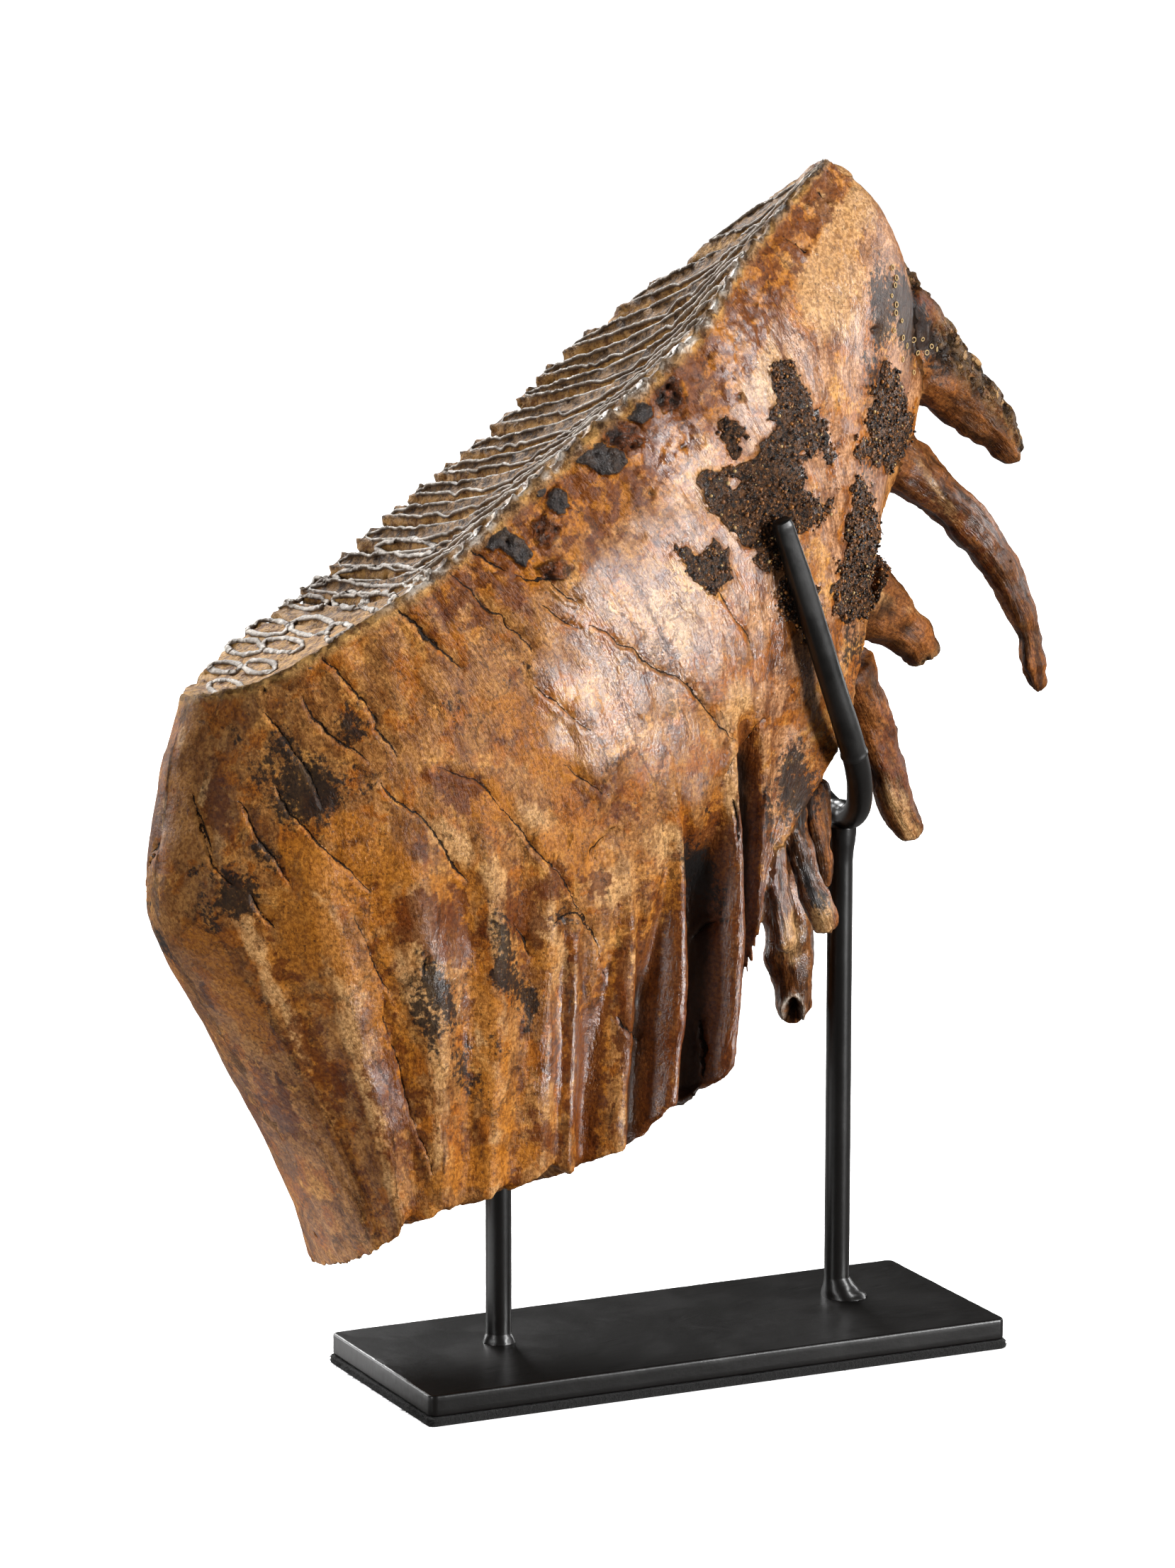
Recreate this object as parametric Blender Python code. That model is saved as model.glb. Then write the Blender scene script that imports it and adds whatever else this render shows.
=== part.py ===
"""A fossil mammoth molar held by a two-post steel display stand.

Metres, +Z up.  The origin is the middle of the felt's underside.  +X runs along the base
plate's long side, towards the tooth's long roots, and +Y runs from the tooth's near face
to its far face.  Sizes below are in millimetres and become metres when a mesh is made.
"""
import bmesh
import bpy
import numpy as np

MM = 0.001
GAP = 0.3                      # clearance kept between touching pieces
WELD_LIMIT = 1e-6              # metres: vertices closer than this are one

# ---- stand -------------------------------------------------------------------------------
PLATE_LENGTH, PLATE_WIDTH, PLATE_HEIGHT = 197.0, 76.4, 6.8
PLATE_CORNER, PLATE_EASE = 2.5, 0.8
FELT_HEIGHT, FELT_OVERHANG, FELT_EASE = 2.5, 0.6, 0.3
PLATE_BOTTOM = FELT_HEIGHT + GAP
PLATE_TOP = PLATE_BOTTOM + PLATE_HEIGHT

ROD_RADIUS, ROD_SIDES = 4.0, 8
POST_SIDES = 14
BLACK = ((0.02, 0.018, 0.016), 0.4, 0.3)     # paint: linear colour, roughness, metallic
FRONT_POST = (-55.6, 6.5)      # where each post stands on the plate
REAR_POST = (62.4, 7.2)
FRONT_POST_TOP = 90.0          # ends in the tooth's open base
HEAD_TOP = 161.2               # the rear post's head, under the cradle's bend
WELD_HEIGHT, FRONT_WELD, REAR_WELD = 3.0, 1.1, 3.2
WELD_LEAN = 0.9                # the rear weld spreads more towards +X

# near arm of the cradle, from the bend over the rear post to the tip; the far arm mirrors it
ARM = ((62.8, 7.2, 165.6), (62.4, 0.0, 166.2), (60.2, -9.0, 171.8), (55.9, -17.0, 182.3),
       (49.7, -23.0, 195.0), (41.8, -27.5, 211.8), (27.7, -34.0, 244.2), (17.8, -38.0, 267.2))
FAR_SPREAD = 7.2               # the far arm stands this much further out, past its foot
SPREAD_FROM, SPREAD_TO = 170.0, 225.0
SLEEVE_FROM = 0.50             # share of the arm where its sleeve begins
ROD_NECK = 3.0                 # the rod inside a sleeve
TIP_FLAT = 0.72                # the tips are pressed flat against the tooth
CRADLE_RINGS, SLEEVE_RINGS = 35, 25
ROD_END, BORE_END = 0.96, 0.975     # shares of the arm that the rod and the sleeve's bore reach

# ---- tooth -------------------------------------------------------------------------------
PLATES = 19                    # enamel plates along the grinding surface
# Each lamella line runs from the grinding surface (first point) down to the base (last),
# as (x, z) in the tooth's middle plane.  The first number is its place along the tooth,
# from 0 at the back to 1 at the front.
LAMELLA_LINES = (
    (0.00, ((-157, 221), (-164, 196), (-167, 155), (-150, 121), (-128, 82), (-109, 41))),
    (0.09, ((-145, 224), (-141, 194), (-135, 156), (-125, 117), (-113, 80), (-105, 47))),
    (0.20, ((-125, 236), (-108, 206), (-96, 168), (-89, 126), (-87, 87), (-87, 53))),
    (0.33, ((-99, 251), (-76, 219), (-59, 180), (-51, 139), (-50, 98), (-51, 59))),
    (0.46, ((-74, 270), (-47, 236), (-27, 198), (-15, 157), (-12, 114), (-14, 73))),
    (0.59, ((-50, 287), (-21, 251), (-3, 216), (8, 179), (13, 141), (12, 101))),
    (0.65, ((-38, 295), (-11, 259), (5, 227), (15, 198), (20, 172), (20, 143))),
    (0.73, ((-21, 308), (3, 276), (20, 245), (31, 218), (38, 197), (41, 179))),
    (0.88, ((5, 333), (19, 303), (32, 274), (45, 251), (53, 232), (56, 216))),
    (0.94, ((26, 348), (37, 326), (47, 305), (59, 286), (66, 271), (66, 257))),
    (1.00, ((55, 367), (69, 356), (79, 341), (87, 322), (91, 303), (89, 283))),
)
# Half of the tooth's width as a vector from its middle to its far face, at the grinding
# surface and at the base, by place along the tooth.
HALF_PLACES = (0.0, 0.2, 0.45, 0.76, 0.9, 1.0)
HALF_CROWN = ((-3, 36, -8), (-3, 38.5, -7), (-5.5, 41, -10.5), (-11, 41, -16), (-15, 38, -21),
              (-16, 35, -24))
HALF_BASE = ((-2, 33, -11), (-2, 34, -12), (-2, 33, -11), (-5, 26, -6), (-5, 24, -6), (-5, 22, -6))
SIDE_BULGE = 4.0
MIDDLE_BACK, MIDDLE_BOW = 4.0, 12.0     # the middle plane's y, bowing away at the front
GRIND_HOLLOW = 5.0                      # the grinding surface sags between its rims
GRIND_UP = np.array((-0.58, 0.0, 0.81))
PLATE_RELIEF = 1.1                      # plates stand above the cement between them
# Gaps at the base, one between each two plates: first and last, how high they reach as a
# depth share, how far across, and their width as a share of a plate.
POCKETS = (1, 7, 0.80, 0.78, 0.50)      # closed in by the side walls
SLOTS = (9, 12, 0.66, 1.4, 0.40)        # open through both sides


def smooth(x, low, high):
    """A soft step: 3u^2 - 2u^3 of x's share of the way from low to high."""
    u = np.clip((x - low) / (high - low), 0.0, 1.0)
    return u * u * (3.0 - 2.0 * u)


def hermite(knots, values, x):
    """Cubic through the values at the knots, each slope the one between its neighbours."""
    knots, values, x = np.asarray(knots, float), np.asarray(values, float), np.asarray(x, float)
    slope = np.gradient(values, knots, axis=0)
    i = np.clip(np.searchsorted(knots, x, side="right") - 1, 0, len(knots) - 2)
    step = knots[i + 1] - knots[i]
    u = np.clip((x - knots[i]) / step, 0.0, 1.0)
    shape = x.shape + (1,) * (values.ndim - 1)
    u, step = u.reshape(shape), step.reshape(shape)
    a, b = values[i], values[i + 1]
    return (a * (2 * u**3 - 3 * u**2 + 1) + b * (3 * u**2 - 2 * u**3)
            + step * (slope[i] * (u**3 - 2 * u**2 + u) + slope[i + 1] * (u**3 - u**2)))


def middle_plane(place, depth):
    """Point of the tooth's middle: cubic along each lamella line, then cubic across them."""
    places = [line[0] for line in LAMELLA_LINES]
    lines = np.array([line[1] for line in LAMELLA_LINES], float)
    steps = np.linspace(0.0, 1.0, lines.shape[1])
    at_depth = hermite(steps, lines.transpose(1, 0, 2), depth)
    flat_place = np.broadcast_to(place, depth.shape).ravel()
    flat = at_depth.reshape(-1, len(places), 2)
    slope = np.gradient(flat, places, axis=1)
    i = np.clip(np.searchsorted(places, flat_place, side="right") - 1, 0, len(places) - 2)
    knots = np.array(places)
    step = (knots[i + 1] - knots[i])[:, None]
    u = ((flat_place - knots[i]) / step[:, 0])[:, None]
    row = np.arange(len(i))
    a, b = flat[row, i], flat[row, i + 1]
    xz = (a * (2 * u**3 - 3 * u**2 + 1) + b * (3 * u**2 - 2 * u**3)
          + step * (slope[row, i] * (u**3 - 2 * u**2 + u) + slope[row, i + 1] * (u**3 - u**2)))
    y = MIDDLE_BACK + MIDDLE_BOW * flat_place**2
    point = np.stack([xz[:, 0], y, xz[:, 1]], axis=1).reshape(depth.shape + (3,))
    return point


def half_width(place, depth):
    """Vector from the middle to the far face, crown blended into base, bulged half way."""
    crown = np.stack([np.interp(place, HALF_PLACES, c) for c in np.transpose(HALF_CROWN)], -1)
    base = np.stack([np.interp(place, HALF_PLACES, c) for c in np.transpose(HALF_BASE)], -1)
    mix = smooth(depth, 0.1, 1.0)[..., None]
    half = crown * (1 - mix) + base * mix
    half[..., 1] += SIDE_BULGE * np.sin(np.pi * np.clip(depth / 0.7, 0.0, 1.0))
    return half


def end_rounding(place, depth):
    """Share of the width left near both ends, where the sides close in superellipses."""
    back = 0.30 - 0.10 * smooth(depth, 0.0, 0.4)
    power = 1.8 + 0.4 * smooth(depth, 0.0, 0.4)
    front = 0.24 - 0.10 * smooth(depth, 0.0, 0.35)
    to_back = np.clip(1 - place / back, 0.0, 1.0)
    to_front = np.clip(1 - (1 - place) / front, 0.0, 1.0)
    return (1 - to_back**power) ** (1 / power) * (1 - to_front**2) ** 0.5


def ridge(place):
    """+1 on a plate, -1 on the cement between two plates."""
    return -np.cos(2 * np.pi * place * PLATES)


def tooth_surface(place, depth, across):
    """Point on or in the tooth: middle plus across half widths, fluted and hollowed.

    place runs along the tooth, depth from the grinding surface (0) to the base (1) and
    across from the near face (-1) to the far face (+1)."""
    half = half_width(place, depth) * end_rounding(place, depth)[..., None]
    point = middle_plane(place, depth) + across[..., None] * half
    fade = smooth(place, 0.0, 0.05) * smooth(place, 1.0, 0.93)
    flute = (0.2 + 1.7 * smooth(depth, 0.3, 0.8)) * smooth(place, 0.75, 0.62) * fade
    point[..., 1] += np.sign(across) * smooth(np.abs(across), 0.8, 1.0) * flute * ridge(place)
    on_top = smooth(depth, 0.05, 0.0)
    sag = GRIND_HOLLOW * (across**2 - 1) * end_rounding(place, depth)
    relief = PLATE_RELIEF * ridge(place) * fade
    return point + (on_top * (sag + relief))[..., None] * GRIND_UP


def torn_base(place):
    """How far down the base reaches: a broken edge, uneven from plate to plate."""
    torn = 0.012 * np.sin(37 * place) + 0.010 * np.sin(91 * place + 1.0)
    return 1.0 + torn * smooth(place, 0.75, 0.6)


def section_loop():
    """(depth share, across) of each vertex of a section: near side, base, far side, top."""
    side = np.array((0.03, 0.11, 0.22, 0.34, 0.46, 0.58, 0.70, 0.82, 0.92, 1.0))
    base = np.array((-0.7, 0.0, 0.7))
    top = np.array((0.96, 0.7, 0.35, 0.0, -0.35, -0.7, -0.96))
    share = np.concatenate([side, np.ones(len(base)), side[::-1], np.zeros(len(top))])
    across = np.concatenate([-np.ones(len(side)), base, np.ones(len(side)), top])
    return share, across


def section_places():
    """Places of the sections: four to a plate, closer together at the two ends."""
    return np.array(sorted([k / 4 / PLATES for k in range(4 * PLATES)] + [0.004, 0.994, 1.0]))


def tooth_body():
    """Closed crown and base: section loops joined in turn, both end loops folded shut."""
    share, across = section_loop()
    places = section_places()
    place = np.repeat(places[:, None], len(share), axis=1)
    side = np.broadcast_to(across, place.shape)
    depth = share * torn_base(place)
    points = tooth_surface(place, depth, side)
    rows, columns = place.shape
    index = np.arange(rows * columns).reshape(rows, columns)
    after = np.roll(index, -1, axis=1)
    quads = np.stack([index[:-1], after[:-1], after[1:], index[1:]], axis=-1).reshape(-1, 4)
    return points.reshape(-1, 3), quads


def ring_tube(path, radii, rings, flats=(1.0, 1.0)):
    """Points of rings square to a cubic path: radius and flattening along Y follow it too."""
    knots = np.linspace(0.0, 1.0, len(path))
    u = np.linspace(0.0, 1.0, rings)
    centre = hermite(knots, path, u)
    radius = np.interp(u, np.linspace(0.0, 1.0, len(radii)), radii)
    flat = np.interp(u, np.linspace(0.0, 1.0, len(flats)), flats)
    along = np.gradient(centre, u, axis=0)
    along /= np.linalg.norm(along, axis=1, keepdims=True)
    return centre, radius, flat, along


def place_rings(centre, radius, flat, along, sides, start):
    """Ellipses round the centres; the long axis starts at start and turns with the path."""
    out = start - (along @ start)[:, None] * along
    out /= np.linalg.norm(out, axis=1, keepdims=True)
    third = np.cross(along, out)
    angle = np.arange(sides) * 2 * np.pi / sides
    wide = np.cos(angle)[None, :, None] * out[:, None]
    deep = np.sin(angle)[None, :, None] * third[:, None] * flat[:, None, None]
    return centre[:, None] + (wide + deep) * radius[:, None, None]


def close_tube(points, first, last):
    """Join rings into walls and close both ends on a point each."""
    rings, sides = points.shape[:2]
    index = np.arange(rings * sides).reshape(rings, sides)
    after = np.roll(index, -1, axis=1)
    walls = np.stack([index[:-1], after[:-1], after[1:], index[1:]], -1).reshape(-1, 4).tolist()
    start, end = rings * sides, rings * sides + 1
    caps = [(start, int(b), int(a)) for a, b in zip(index[0], after[0])]
    caps += [(end, int(a), int(b)) for a, b in zip(index[-1], after[-1])]
    return np.concatenate([points.reshape(-1, 3), [first], [last]]), walls + caps


def root_tube(path, radii, flat, sides=8, rings=8):
    """A root: a tapering tube whose tip bulges half a radius past its last ring."""
    centre, radius, flats, along = ring_tube(path, radii, rings, (flat, flat))
    points = place_rings(centre, radius, flats, along, sides, np.array((1.0, 0.0, 0.3)))
    return close_tube(points, centre[0], centre[-1] + along[-1] * radius[-1] * 0.5)


def turned(profile, sides, centre, lean=0.0):
    """Closed solid turned about a vertical line: profile holds (radius, z) from the bottom.

    lean widens each radius beyond the rod's own towards +X, as a one-sided weld does."""
    angle = np.arange(sides) * 2 * np.pi / sides
    radius, height = np.transpose(profile)
    spread = np.maximum(radius - ROD_RADIUS, 0.0)[:, None] * (1.0 + lean * np.cos(angle))
    reach = np.minimum(radius, ROD_RADIUS)[:, None] + spread
    x = centre[0] + reach * np.cos(angle)
    y = centre[1] + reach * np.sin(angle)
    z = np.repeat(height[:, None], sides, axis=1)
    points = np.stack([x, y, z], axis=-1)
    middle = np.array((centre[0], centre[1], 0.0))
    return close_tube(points, middle + (0, 0, height[0]), middle + (0, 0, height[-1]))


def rounded_slab(length, width, bottom, top, corner, ease, steps=4):
    """A plate with round corners and eased edges: four stacked rounded rectangles, capped."""
    turn = np.linspace(0.0, np.pi / 2, steps)
    rings = []
    for inset, z in ((ease, bottom), (0.0, bottom + ease), (0.0, top - ease), (ease, top)):
        ring = []
        for quarter, (sx, sy) in enumerate(((1, 1), (-1, 1), (-1, -1), (1, -1))):
            cx, cy = sx * (length / 2 - corner), sy * (width / 2 - corner)
            for angle in turn + quarter * np.pi / 2:
                reach = corner - inset
                ring.append((cx + reach * np.cos(angle), cy + reach * np.sin(angle), z))
        rings.append(ring)
    points = np.array(rings)
    return close_tube(points, (0.0, 0.0, bottom), (0.0, 0.0, top))


def base_gap(plate, top, reach, width):
    """Solid that parts two plates: square rings down the lamella line between them.

    It narrows upwards to half its width and runs on straight below the base."""
    depth = np.linspace(top, 1.0, 7)
    half = width / 2 * (0.5 + 0.5 * (depth - top) / (1.0 - top)) / PLATES
    corners = np.array(((-1, -reach), (-1, reach), (1, reach), (1, -reach)))
    place = plate / PLATES + half[:, None] * corners[None, :, 0]
    across = np.broadcast_to(corners[None, :, 1], place.shape)
    depths = np.repeat(depth[:, None], 4, axis=1)
    points = middle_plane(place, depths) + across[..., None] * half_width(place, depths)
    below = points[-1] + 2.0 * (points[-1] - points[-2])
    points = np.concatenate([points, below[None]])
    return close_tube(points, points[0].mean(axis=0), points[-1].mean(axis=0))


# Roots: a path of (x, y, z) from inside the crown to the tip, the radius along it, and how
# much wider or narrower it is along Y.
ROOTS = {
    "front_root": (((77, 14, 321), (93, 15, 307), (108, 16, 295), (120, 16, 284), (129, 16, 272)),
                   (17.0, 13.6, 11.0, 7.9, 3.9), 0.75),
    "claw_root": (((68, 8, 282), (82, 9, 275), (96, 10, 265), (110, 11, 252), (122, 11, 236),
                   (129, 10, 220), (132, 9, 207), (133, 9, 199)),
                  (13.0, 9.2, 7.0, 6.4, 5.5, 3.9, 2.6, 1.5), 0.9),
    "stub_root": (((62, 2, 236), (76, 4, 228), (86, 5, 220), (90, 5, 214)), (14.0, 9.2, 6.6, 5.0), 1.0),
    "behind_root": (((62, 8, 214), (71, 10, 198), (78, 10, 181), (82, 9, 169), (89, 8, 156)),
                    (10.1, 7.9, 6.8, 5.7, 3.5), 1.0),
    "left_finger": (((28, -8, 182), (27, -14, 168), (28, -17, 149), (31, -18, 131)),
                    (6.6, 4.2, 3.7, 3.7), 0.9),
    "right_finger": (((34, -6, 181), (36, -12, 166), (40, -15, 149), (46, -16, 135)),
                     (6.6, 4.6, 4.2, 3.9), 0.9),
    "flange_root": (((45, -2, 179), (47, -5, 164), (49, -6, 154), (50, -6, 146)),
                    (5.7, 4.4, 3.5, 2.2), 1.3),
    "hollow_root": (((34, 13, 192), (41, 14, 169), (46, 15, 148), (48, 15, 133), (49, 14, 117),
                     (50, 13, 101)), (13.0, 11.0, 9.5, 8.3, 7.0, 5.3), 1.0),
    "spongy_stub": (((26, 0, 155), (27, -3, 145), (28, -4, 137)), (5.3, 4.4, 2.6), 1.0),
}


# The canal bored into the hollow root's broken end.
CANAL = (((48.5, 14, 112), (49.5, 13.2, 103), (50.8, 12.6, 94)), (2.0, 3.2, 3.6), 0.6)


def add_mesh(name, vertices, faces, colour, roughness, metallic=0.0, smooth_faces=True):
    """Make a named object from millimetre vertices, with its own plain material."""
    mesh = bpy.data.meshes.new(name)
    mesh.from_pydata((np.asarray(vertices) * MM).tolist(), [], [tuple(f) for f in faces])
    shell = bmesh.new()
    shell.from_mesh(mesh)
    bmesh.ops.remove_doubles(shell, verts=shell.verts, dist=WELD_LIMIT)
    bmesh.ops.dissolve_degenerate(shell, edges=shell.edges, dist=WELD_LIMIT)
    shell.to_mesh(mesh)
    shell.free()
    item = bpy.data.objects.new(name, mesh)
    bpy.context.collection.objects.link(item)
    material = bpy.data.materials.new(name)
    material.use_nodes = True
    shader = material.node_tree.nodes["Principled BSDF"]
    shader.inputs["Base Color"].default_value = (*colour, 1.0)
    shader.inputs["Roughness"].default_value = roughness
    shader.inputs["Metallic"].default_value = metallic
    mesh.materials.append(material)
    if smooth_faces:
        mesh.shade_smooth()
    return item


def fuse(item, others, operation):
    """Join other solids to this one, or cut them out of it, and hide them as guides."""
    group = bpy.data.collections.new(item.name + "_" + operation.lower())
    for other in others:
        group.objects.link(other)
        other.hide_render = True
        other.display_type = "WIRE"
    step = item.modifiers.new(operation, "BOOLEAN")
    step.operation = operation
    step.operand_type = "COLLECTION"
    step.collection = group
    step.solver = "EXACT"


def make_tooth():
    """The crown with its roots joined on, less the post's seat and the hollow root's canal."""
    bone = ((0.35, 0.18, 0.07), 0.45)
    vertices, faces = tooth_body()
    tooth = add_mesh("tooth", vertices, faces, *bone)
    roots = [add_mesh(name, *root_tube(*shape), *bone) for name, shape in ROOTS.items()]
    fuse(tooth, roots, "UNION")
    seat = [(ROD_RADIUS + 2 * GAP, 20.0), (ROD_RADIUS + 2 * GAP, FRONT_POST_TOP + 2 * GAP)]
    cutters = [add_mesh("post_seat", *turned(seat, 12, FRONT_POST), *bone)]
    cutters.append(add_mesh("root_canal", *root_tube(*CANAL, 8, 4), *bone))
    for first, last, *gap in (POCKETS, SLOTS):
        for plate in range(first, last + 1):
            cutters.append(add_mesh(f"base_gap_{plate}", *base_gap(plate, *gap), *bone))
    fuse(tooth, cutters, "DIFFERENCE")


def make_base():
    """The steel plate on its felt."""
    length, width = PLATE_LENGTH, PLATE_WIDTH
    plate = rounded_slab(length, width, PLATE_BOTTOM, PLATE_TOP, PLATE_CORNER, PLATE_EASE)
    add_mesh("base_plate", *plate, *BLACK, False)
    grow = 2 * FELT_OVERHANG
    felt = rounded_slab(length + grow, width + grow, 0.0, FELT_HEIGHT, PLATE_CORNER, FELT_EASE)
    add_mesh("felt_pad", *felt, (0.01, 0.01, 0.01), 0.95, 0.0, False)


def make_posts():
    """Two round posts: weld rings at their feet, and a spread head under the cradle."""
    foot = PLATE_TOP + GAP
    front = [(ROD_RADIUS + FRONT_WELD, foot), (ROD_RADIUS + 0.6 * FRONT_WELD, foot + 0.4 * WELD_HEIGHT),
             (ROD_RADIUS, foot + WELD_HEIGHT), (ROD_RADIUS, 50.0), (ROD_RADIUS, FRONT_POST_TOP - 0.5),
             (ROD_RADIUS - 0.5, FRONT_POST_TOP)]
    add_mesh("front_post", *turned(front, POST_SIDES, FRONT_POST), *BLACK)
    tall = 2.2 * WELD_HEIGHT
    rear = [(ROD_RADIUS + REAR_WELD, foot), (ROD_RADIUS + 0.75 * REAR_WELD, foot + 0.3 * tall),
            (ROD_RADIUS + 0.25 * REAR_WELD, foot + 0.7 * tall), (ROD_RADIUS, foot + tall),
            (ROD_RADIUS, 90.0),
            (ROD_RADIUS, HEAD_TOP - 9.0), (ROD_RADIUS + 0.5, HEAD_TOP - 4.0), (ROD_RADIUS + 0.4, HEAD_TOP)]
    add_mesh("rear_post", *turned(rear, POST_SIDES, REAR_POST, WELD_LEAN), *BLACK)


def make_cradle():
    """One rod bent into two arms over the rear post, a sleeve closed over each arm's end."""
    near = np.array(ARM)
    far = near * (1, -1, 1) + (0, 2 * REAR_POST[1], 0)
    far[:, 1] += FAR_SPREAD * smooth(near[:, 2], SPREAD_FROM, SPREAD_TO)
    path = np.concatenate([far[::-1], near[1:]])
    centre, radius, flat, along = ring_tube(path, (ROD_RADIUS,), CRADLE_RINGS)
    arc = np.abs(np.linspace(-1.0, 1.0, CRADLE_RINGS))
    inside = arc > SLEEVE_FROM
    radius = np.where(inside, ROD_NECK, radius)
    keep = arc < ROD_END
    start = np.array((1.0, 0.0, 0.3))
    points = place_rings(centre[keep], radius[keep], flat[keep], along[keep], ROD_SIDES, start)
    add_mesh("cradle_rod", *close_tube(points, centre[keep][0], centre[keep][-1]), *BLACK)
    for name, side in (("near_sleeve", near), ("far_sleeve", far)):
        add_mesh(name, *sleeve(side), (0.015, 0.014, 0.013), 0.5)


def sleeve(side):
    """Tube closed at its tip: the outer rings, a flattened end, then the bore's rings back."""
    centre, radius, flat, along = ring_tube(side, (ROD_RADIUS + 0.2,), SLEEVE_RINGS)
    share = np.linspace(0.0, 1.0, SLEEVE_RINGS)
    pick = share >= SLEEVE_FROM + 0.02
    start = np.array((1.0, 0.0, 0.3))
    press = np.interp(share[pick], (SLEEVE_FROM, 0.7, 1.0), (1.0, 1.0, TIP_FLAT))
    outer = place_rings(centre[pick], radius[pick], press, along[pick], ROD_SIDES, start)
    deep = pick & (share < BORE_END)
    bore_radius, even = np.full(deep.sum(), ROD_NECK + GAP), np.ones(deep.sum())
    bore = place_rings(centre[deep], bore_radius, even, along[deep], ROD_SIDES, start)
    loop = np.concatenate([bore[::-1], outer])
    return close_tube(loop, centre[deep][-1], centre[-1])


def main():
    """Clear the file and model every piece."""
    for item in list(bpy.data.objects):
        bpy.data.objects.remove(item)
    make_tooth()
    make_base()
    make_posts()
    make_cradle()


main()
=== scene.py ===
"""Looks of a fossil mammoth molar on its welded steel stand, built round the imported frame.

Shapes are worked out in millimetres, in the frame's axes, and become metres when a mesh is
made.  The tooth is a surface over (place, depth, across): place runs along the tooth from its
back (0) to its front (1), depth from the grinding surface (0) to the base (1), and across from
the near side face (-1) to the far one (+1).
"""
import itertools

import bmesh
import bpy
import numpy as np
from mathutils import Matrix

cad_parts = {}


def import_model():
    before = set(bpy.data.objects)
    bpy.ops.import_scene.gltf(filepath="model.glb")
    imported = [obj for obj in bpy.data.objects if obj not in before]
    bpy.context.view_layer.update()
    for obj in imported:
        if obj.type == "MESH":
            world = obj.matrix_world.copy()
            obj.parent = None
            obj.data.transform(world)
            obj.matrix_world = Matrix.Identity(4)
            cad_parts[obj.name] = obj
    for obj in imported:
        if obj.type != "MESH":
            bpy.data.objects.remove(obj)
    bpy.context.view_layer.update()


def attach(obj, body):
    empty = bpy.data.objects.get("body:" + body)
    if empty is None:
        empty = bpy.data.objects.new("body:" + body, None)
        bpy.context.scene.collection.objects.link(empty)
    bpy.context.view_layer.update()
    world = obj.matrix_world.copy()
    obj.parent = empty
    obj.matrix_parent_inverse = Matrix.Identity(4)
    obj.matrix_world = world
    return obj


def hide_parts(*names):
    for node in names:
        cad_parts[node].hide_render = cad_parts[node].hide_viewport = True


MM = 0.001

# ---- view: the fixed viewpoint, in a 1658 x 2212 frame -----------------------------------
VIEW_SIZE = (1658, 2212)
VIEW_AT = np.array((-836.1, -1700.5, 560.3))      # millimetres
VIEW_LENS, VIEW_SENSOR = 144.86, 36.0
VIEW_TURN, VIEW_TILT, VIEW_ROLL = -0.44341, 0.197307, 0.000533   # radians

# ---- form of the tooth, as in the part ---------------------------------------------------
PLATES = 19
LAMELLA_LINES = (
    (0.00, ((-157, 221), (-164, 196), (-167, 155), (-150, 121), (-128, 82), (-109, 41))),
    (0.09, ((-145, 224), (-141, 194), (-135, 156), (-125, 117), (-113, 80), (-105, 47))),
    (0.20, ((-125, 236), (-108, 206), (-96, 168), (-89, 126), (-87, 87), (-87, 53))),
    (0.33, ((-99, 251), (-76, 219), (-59, 180), (-51, 139), (-50, 98), (-51, 59))),
    (0.46, ((-74, 270), (-47, 236), (-27, 198), (-15, 157), (-12, 114), (-14, 73))),
    (0.59, ((-50, 287), (-21, 251), (-3, 216), (8, 179), (13, 141), (12, 101))),
    (0.65, ((-38, 295), (-11, 259), (5, 227), (15, 198), (20, 172), (20, 143))),
    (0.73, ((-21, 308), (3, 276), (20, 245), (31, 218), (38, 197), (41, 179))),
    (0.88, ((5, 333), (19, 303), (32, 274), (45, 251), (53, 232), (56, 216))),
    (0.94, ((26, 348), (37, 326), (47, 305), (59, 286), (66, 271), (66, 257))),
    (1.00, ((55, 367), (69, 356), (79, 341), (87, 322), (91, 303), (89, 283))),
)
HALF_PLACES = (0.0, 0.2, 0.45, 0.76, 0.9, 1.0)
HALF_CROWN = ((-3, 36, -8), (-3, 38.5, -7), (-5.5, 41, -10.5), (-11, 41, -16), (-15, 38, -21),
              (-16, 35, -24))
HALF_BASE = ((-2, 33, -11), (-2, 34, -12), (-2, 33, -11), (-5, 26, -6), (-5, 24, -6), (-5, 22, -6))
SIDE_BULGE = 4.0
MIDDLE_BACK, MIDDLE_BOW = 4.0, 12.0
GRIND_HOLLOW = 5.0
GRIND_UP = np.array((-0.58, 0.0, 0.81))
POCKETS = (1, 7, 0.80, 0.78, 0.50)     # first and last gap, top, reach across, width in plates
# Folds down the sides: plates counted from the back, height, and the depth where each starts.
FOLDS = ((-0.6, 0.2, 0.30), (0.4, 1.3, 0.25), (1.1, -1.3, 0.28), (1.85, 1.5, 0.25), (2.6, -1.4, 0.30),
         (3.3, 1.7, 0.30), (4.0, -1.5, 0.34), (4.6, 1.7, 0.32), (5.15, -1.4, 0.38), (5.75, 1.2, 0.36),
         (6.05, -0.9, 0.50), (6.3, 1.3, 0.55), (6.72, -4.5, 0.68), (7.5, 1.4, 0.50), (7.85, -7.0, 0.63),
         (8.72, 1.7, 0.45), (9.2, -13.0, 0.56), (10.6, 1.8, 0.48), (11.05, -9.0, 0.46), (12.0, 0.0, 0.5))
FOLD_RAMP = 0.16
FAR_FOLD = 2.5             # no trough on the far side is deeper
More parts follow.
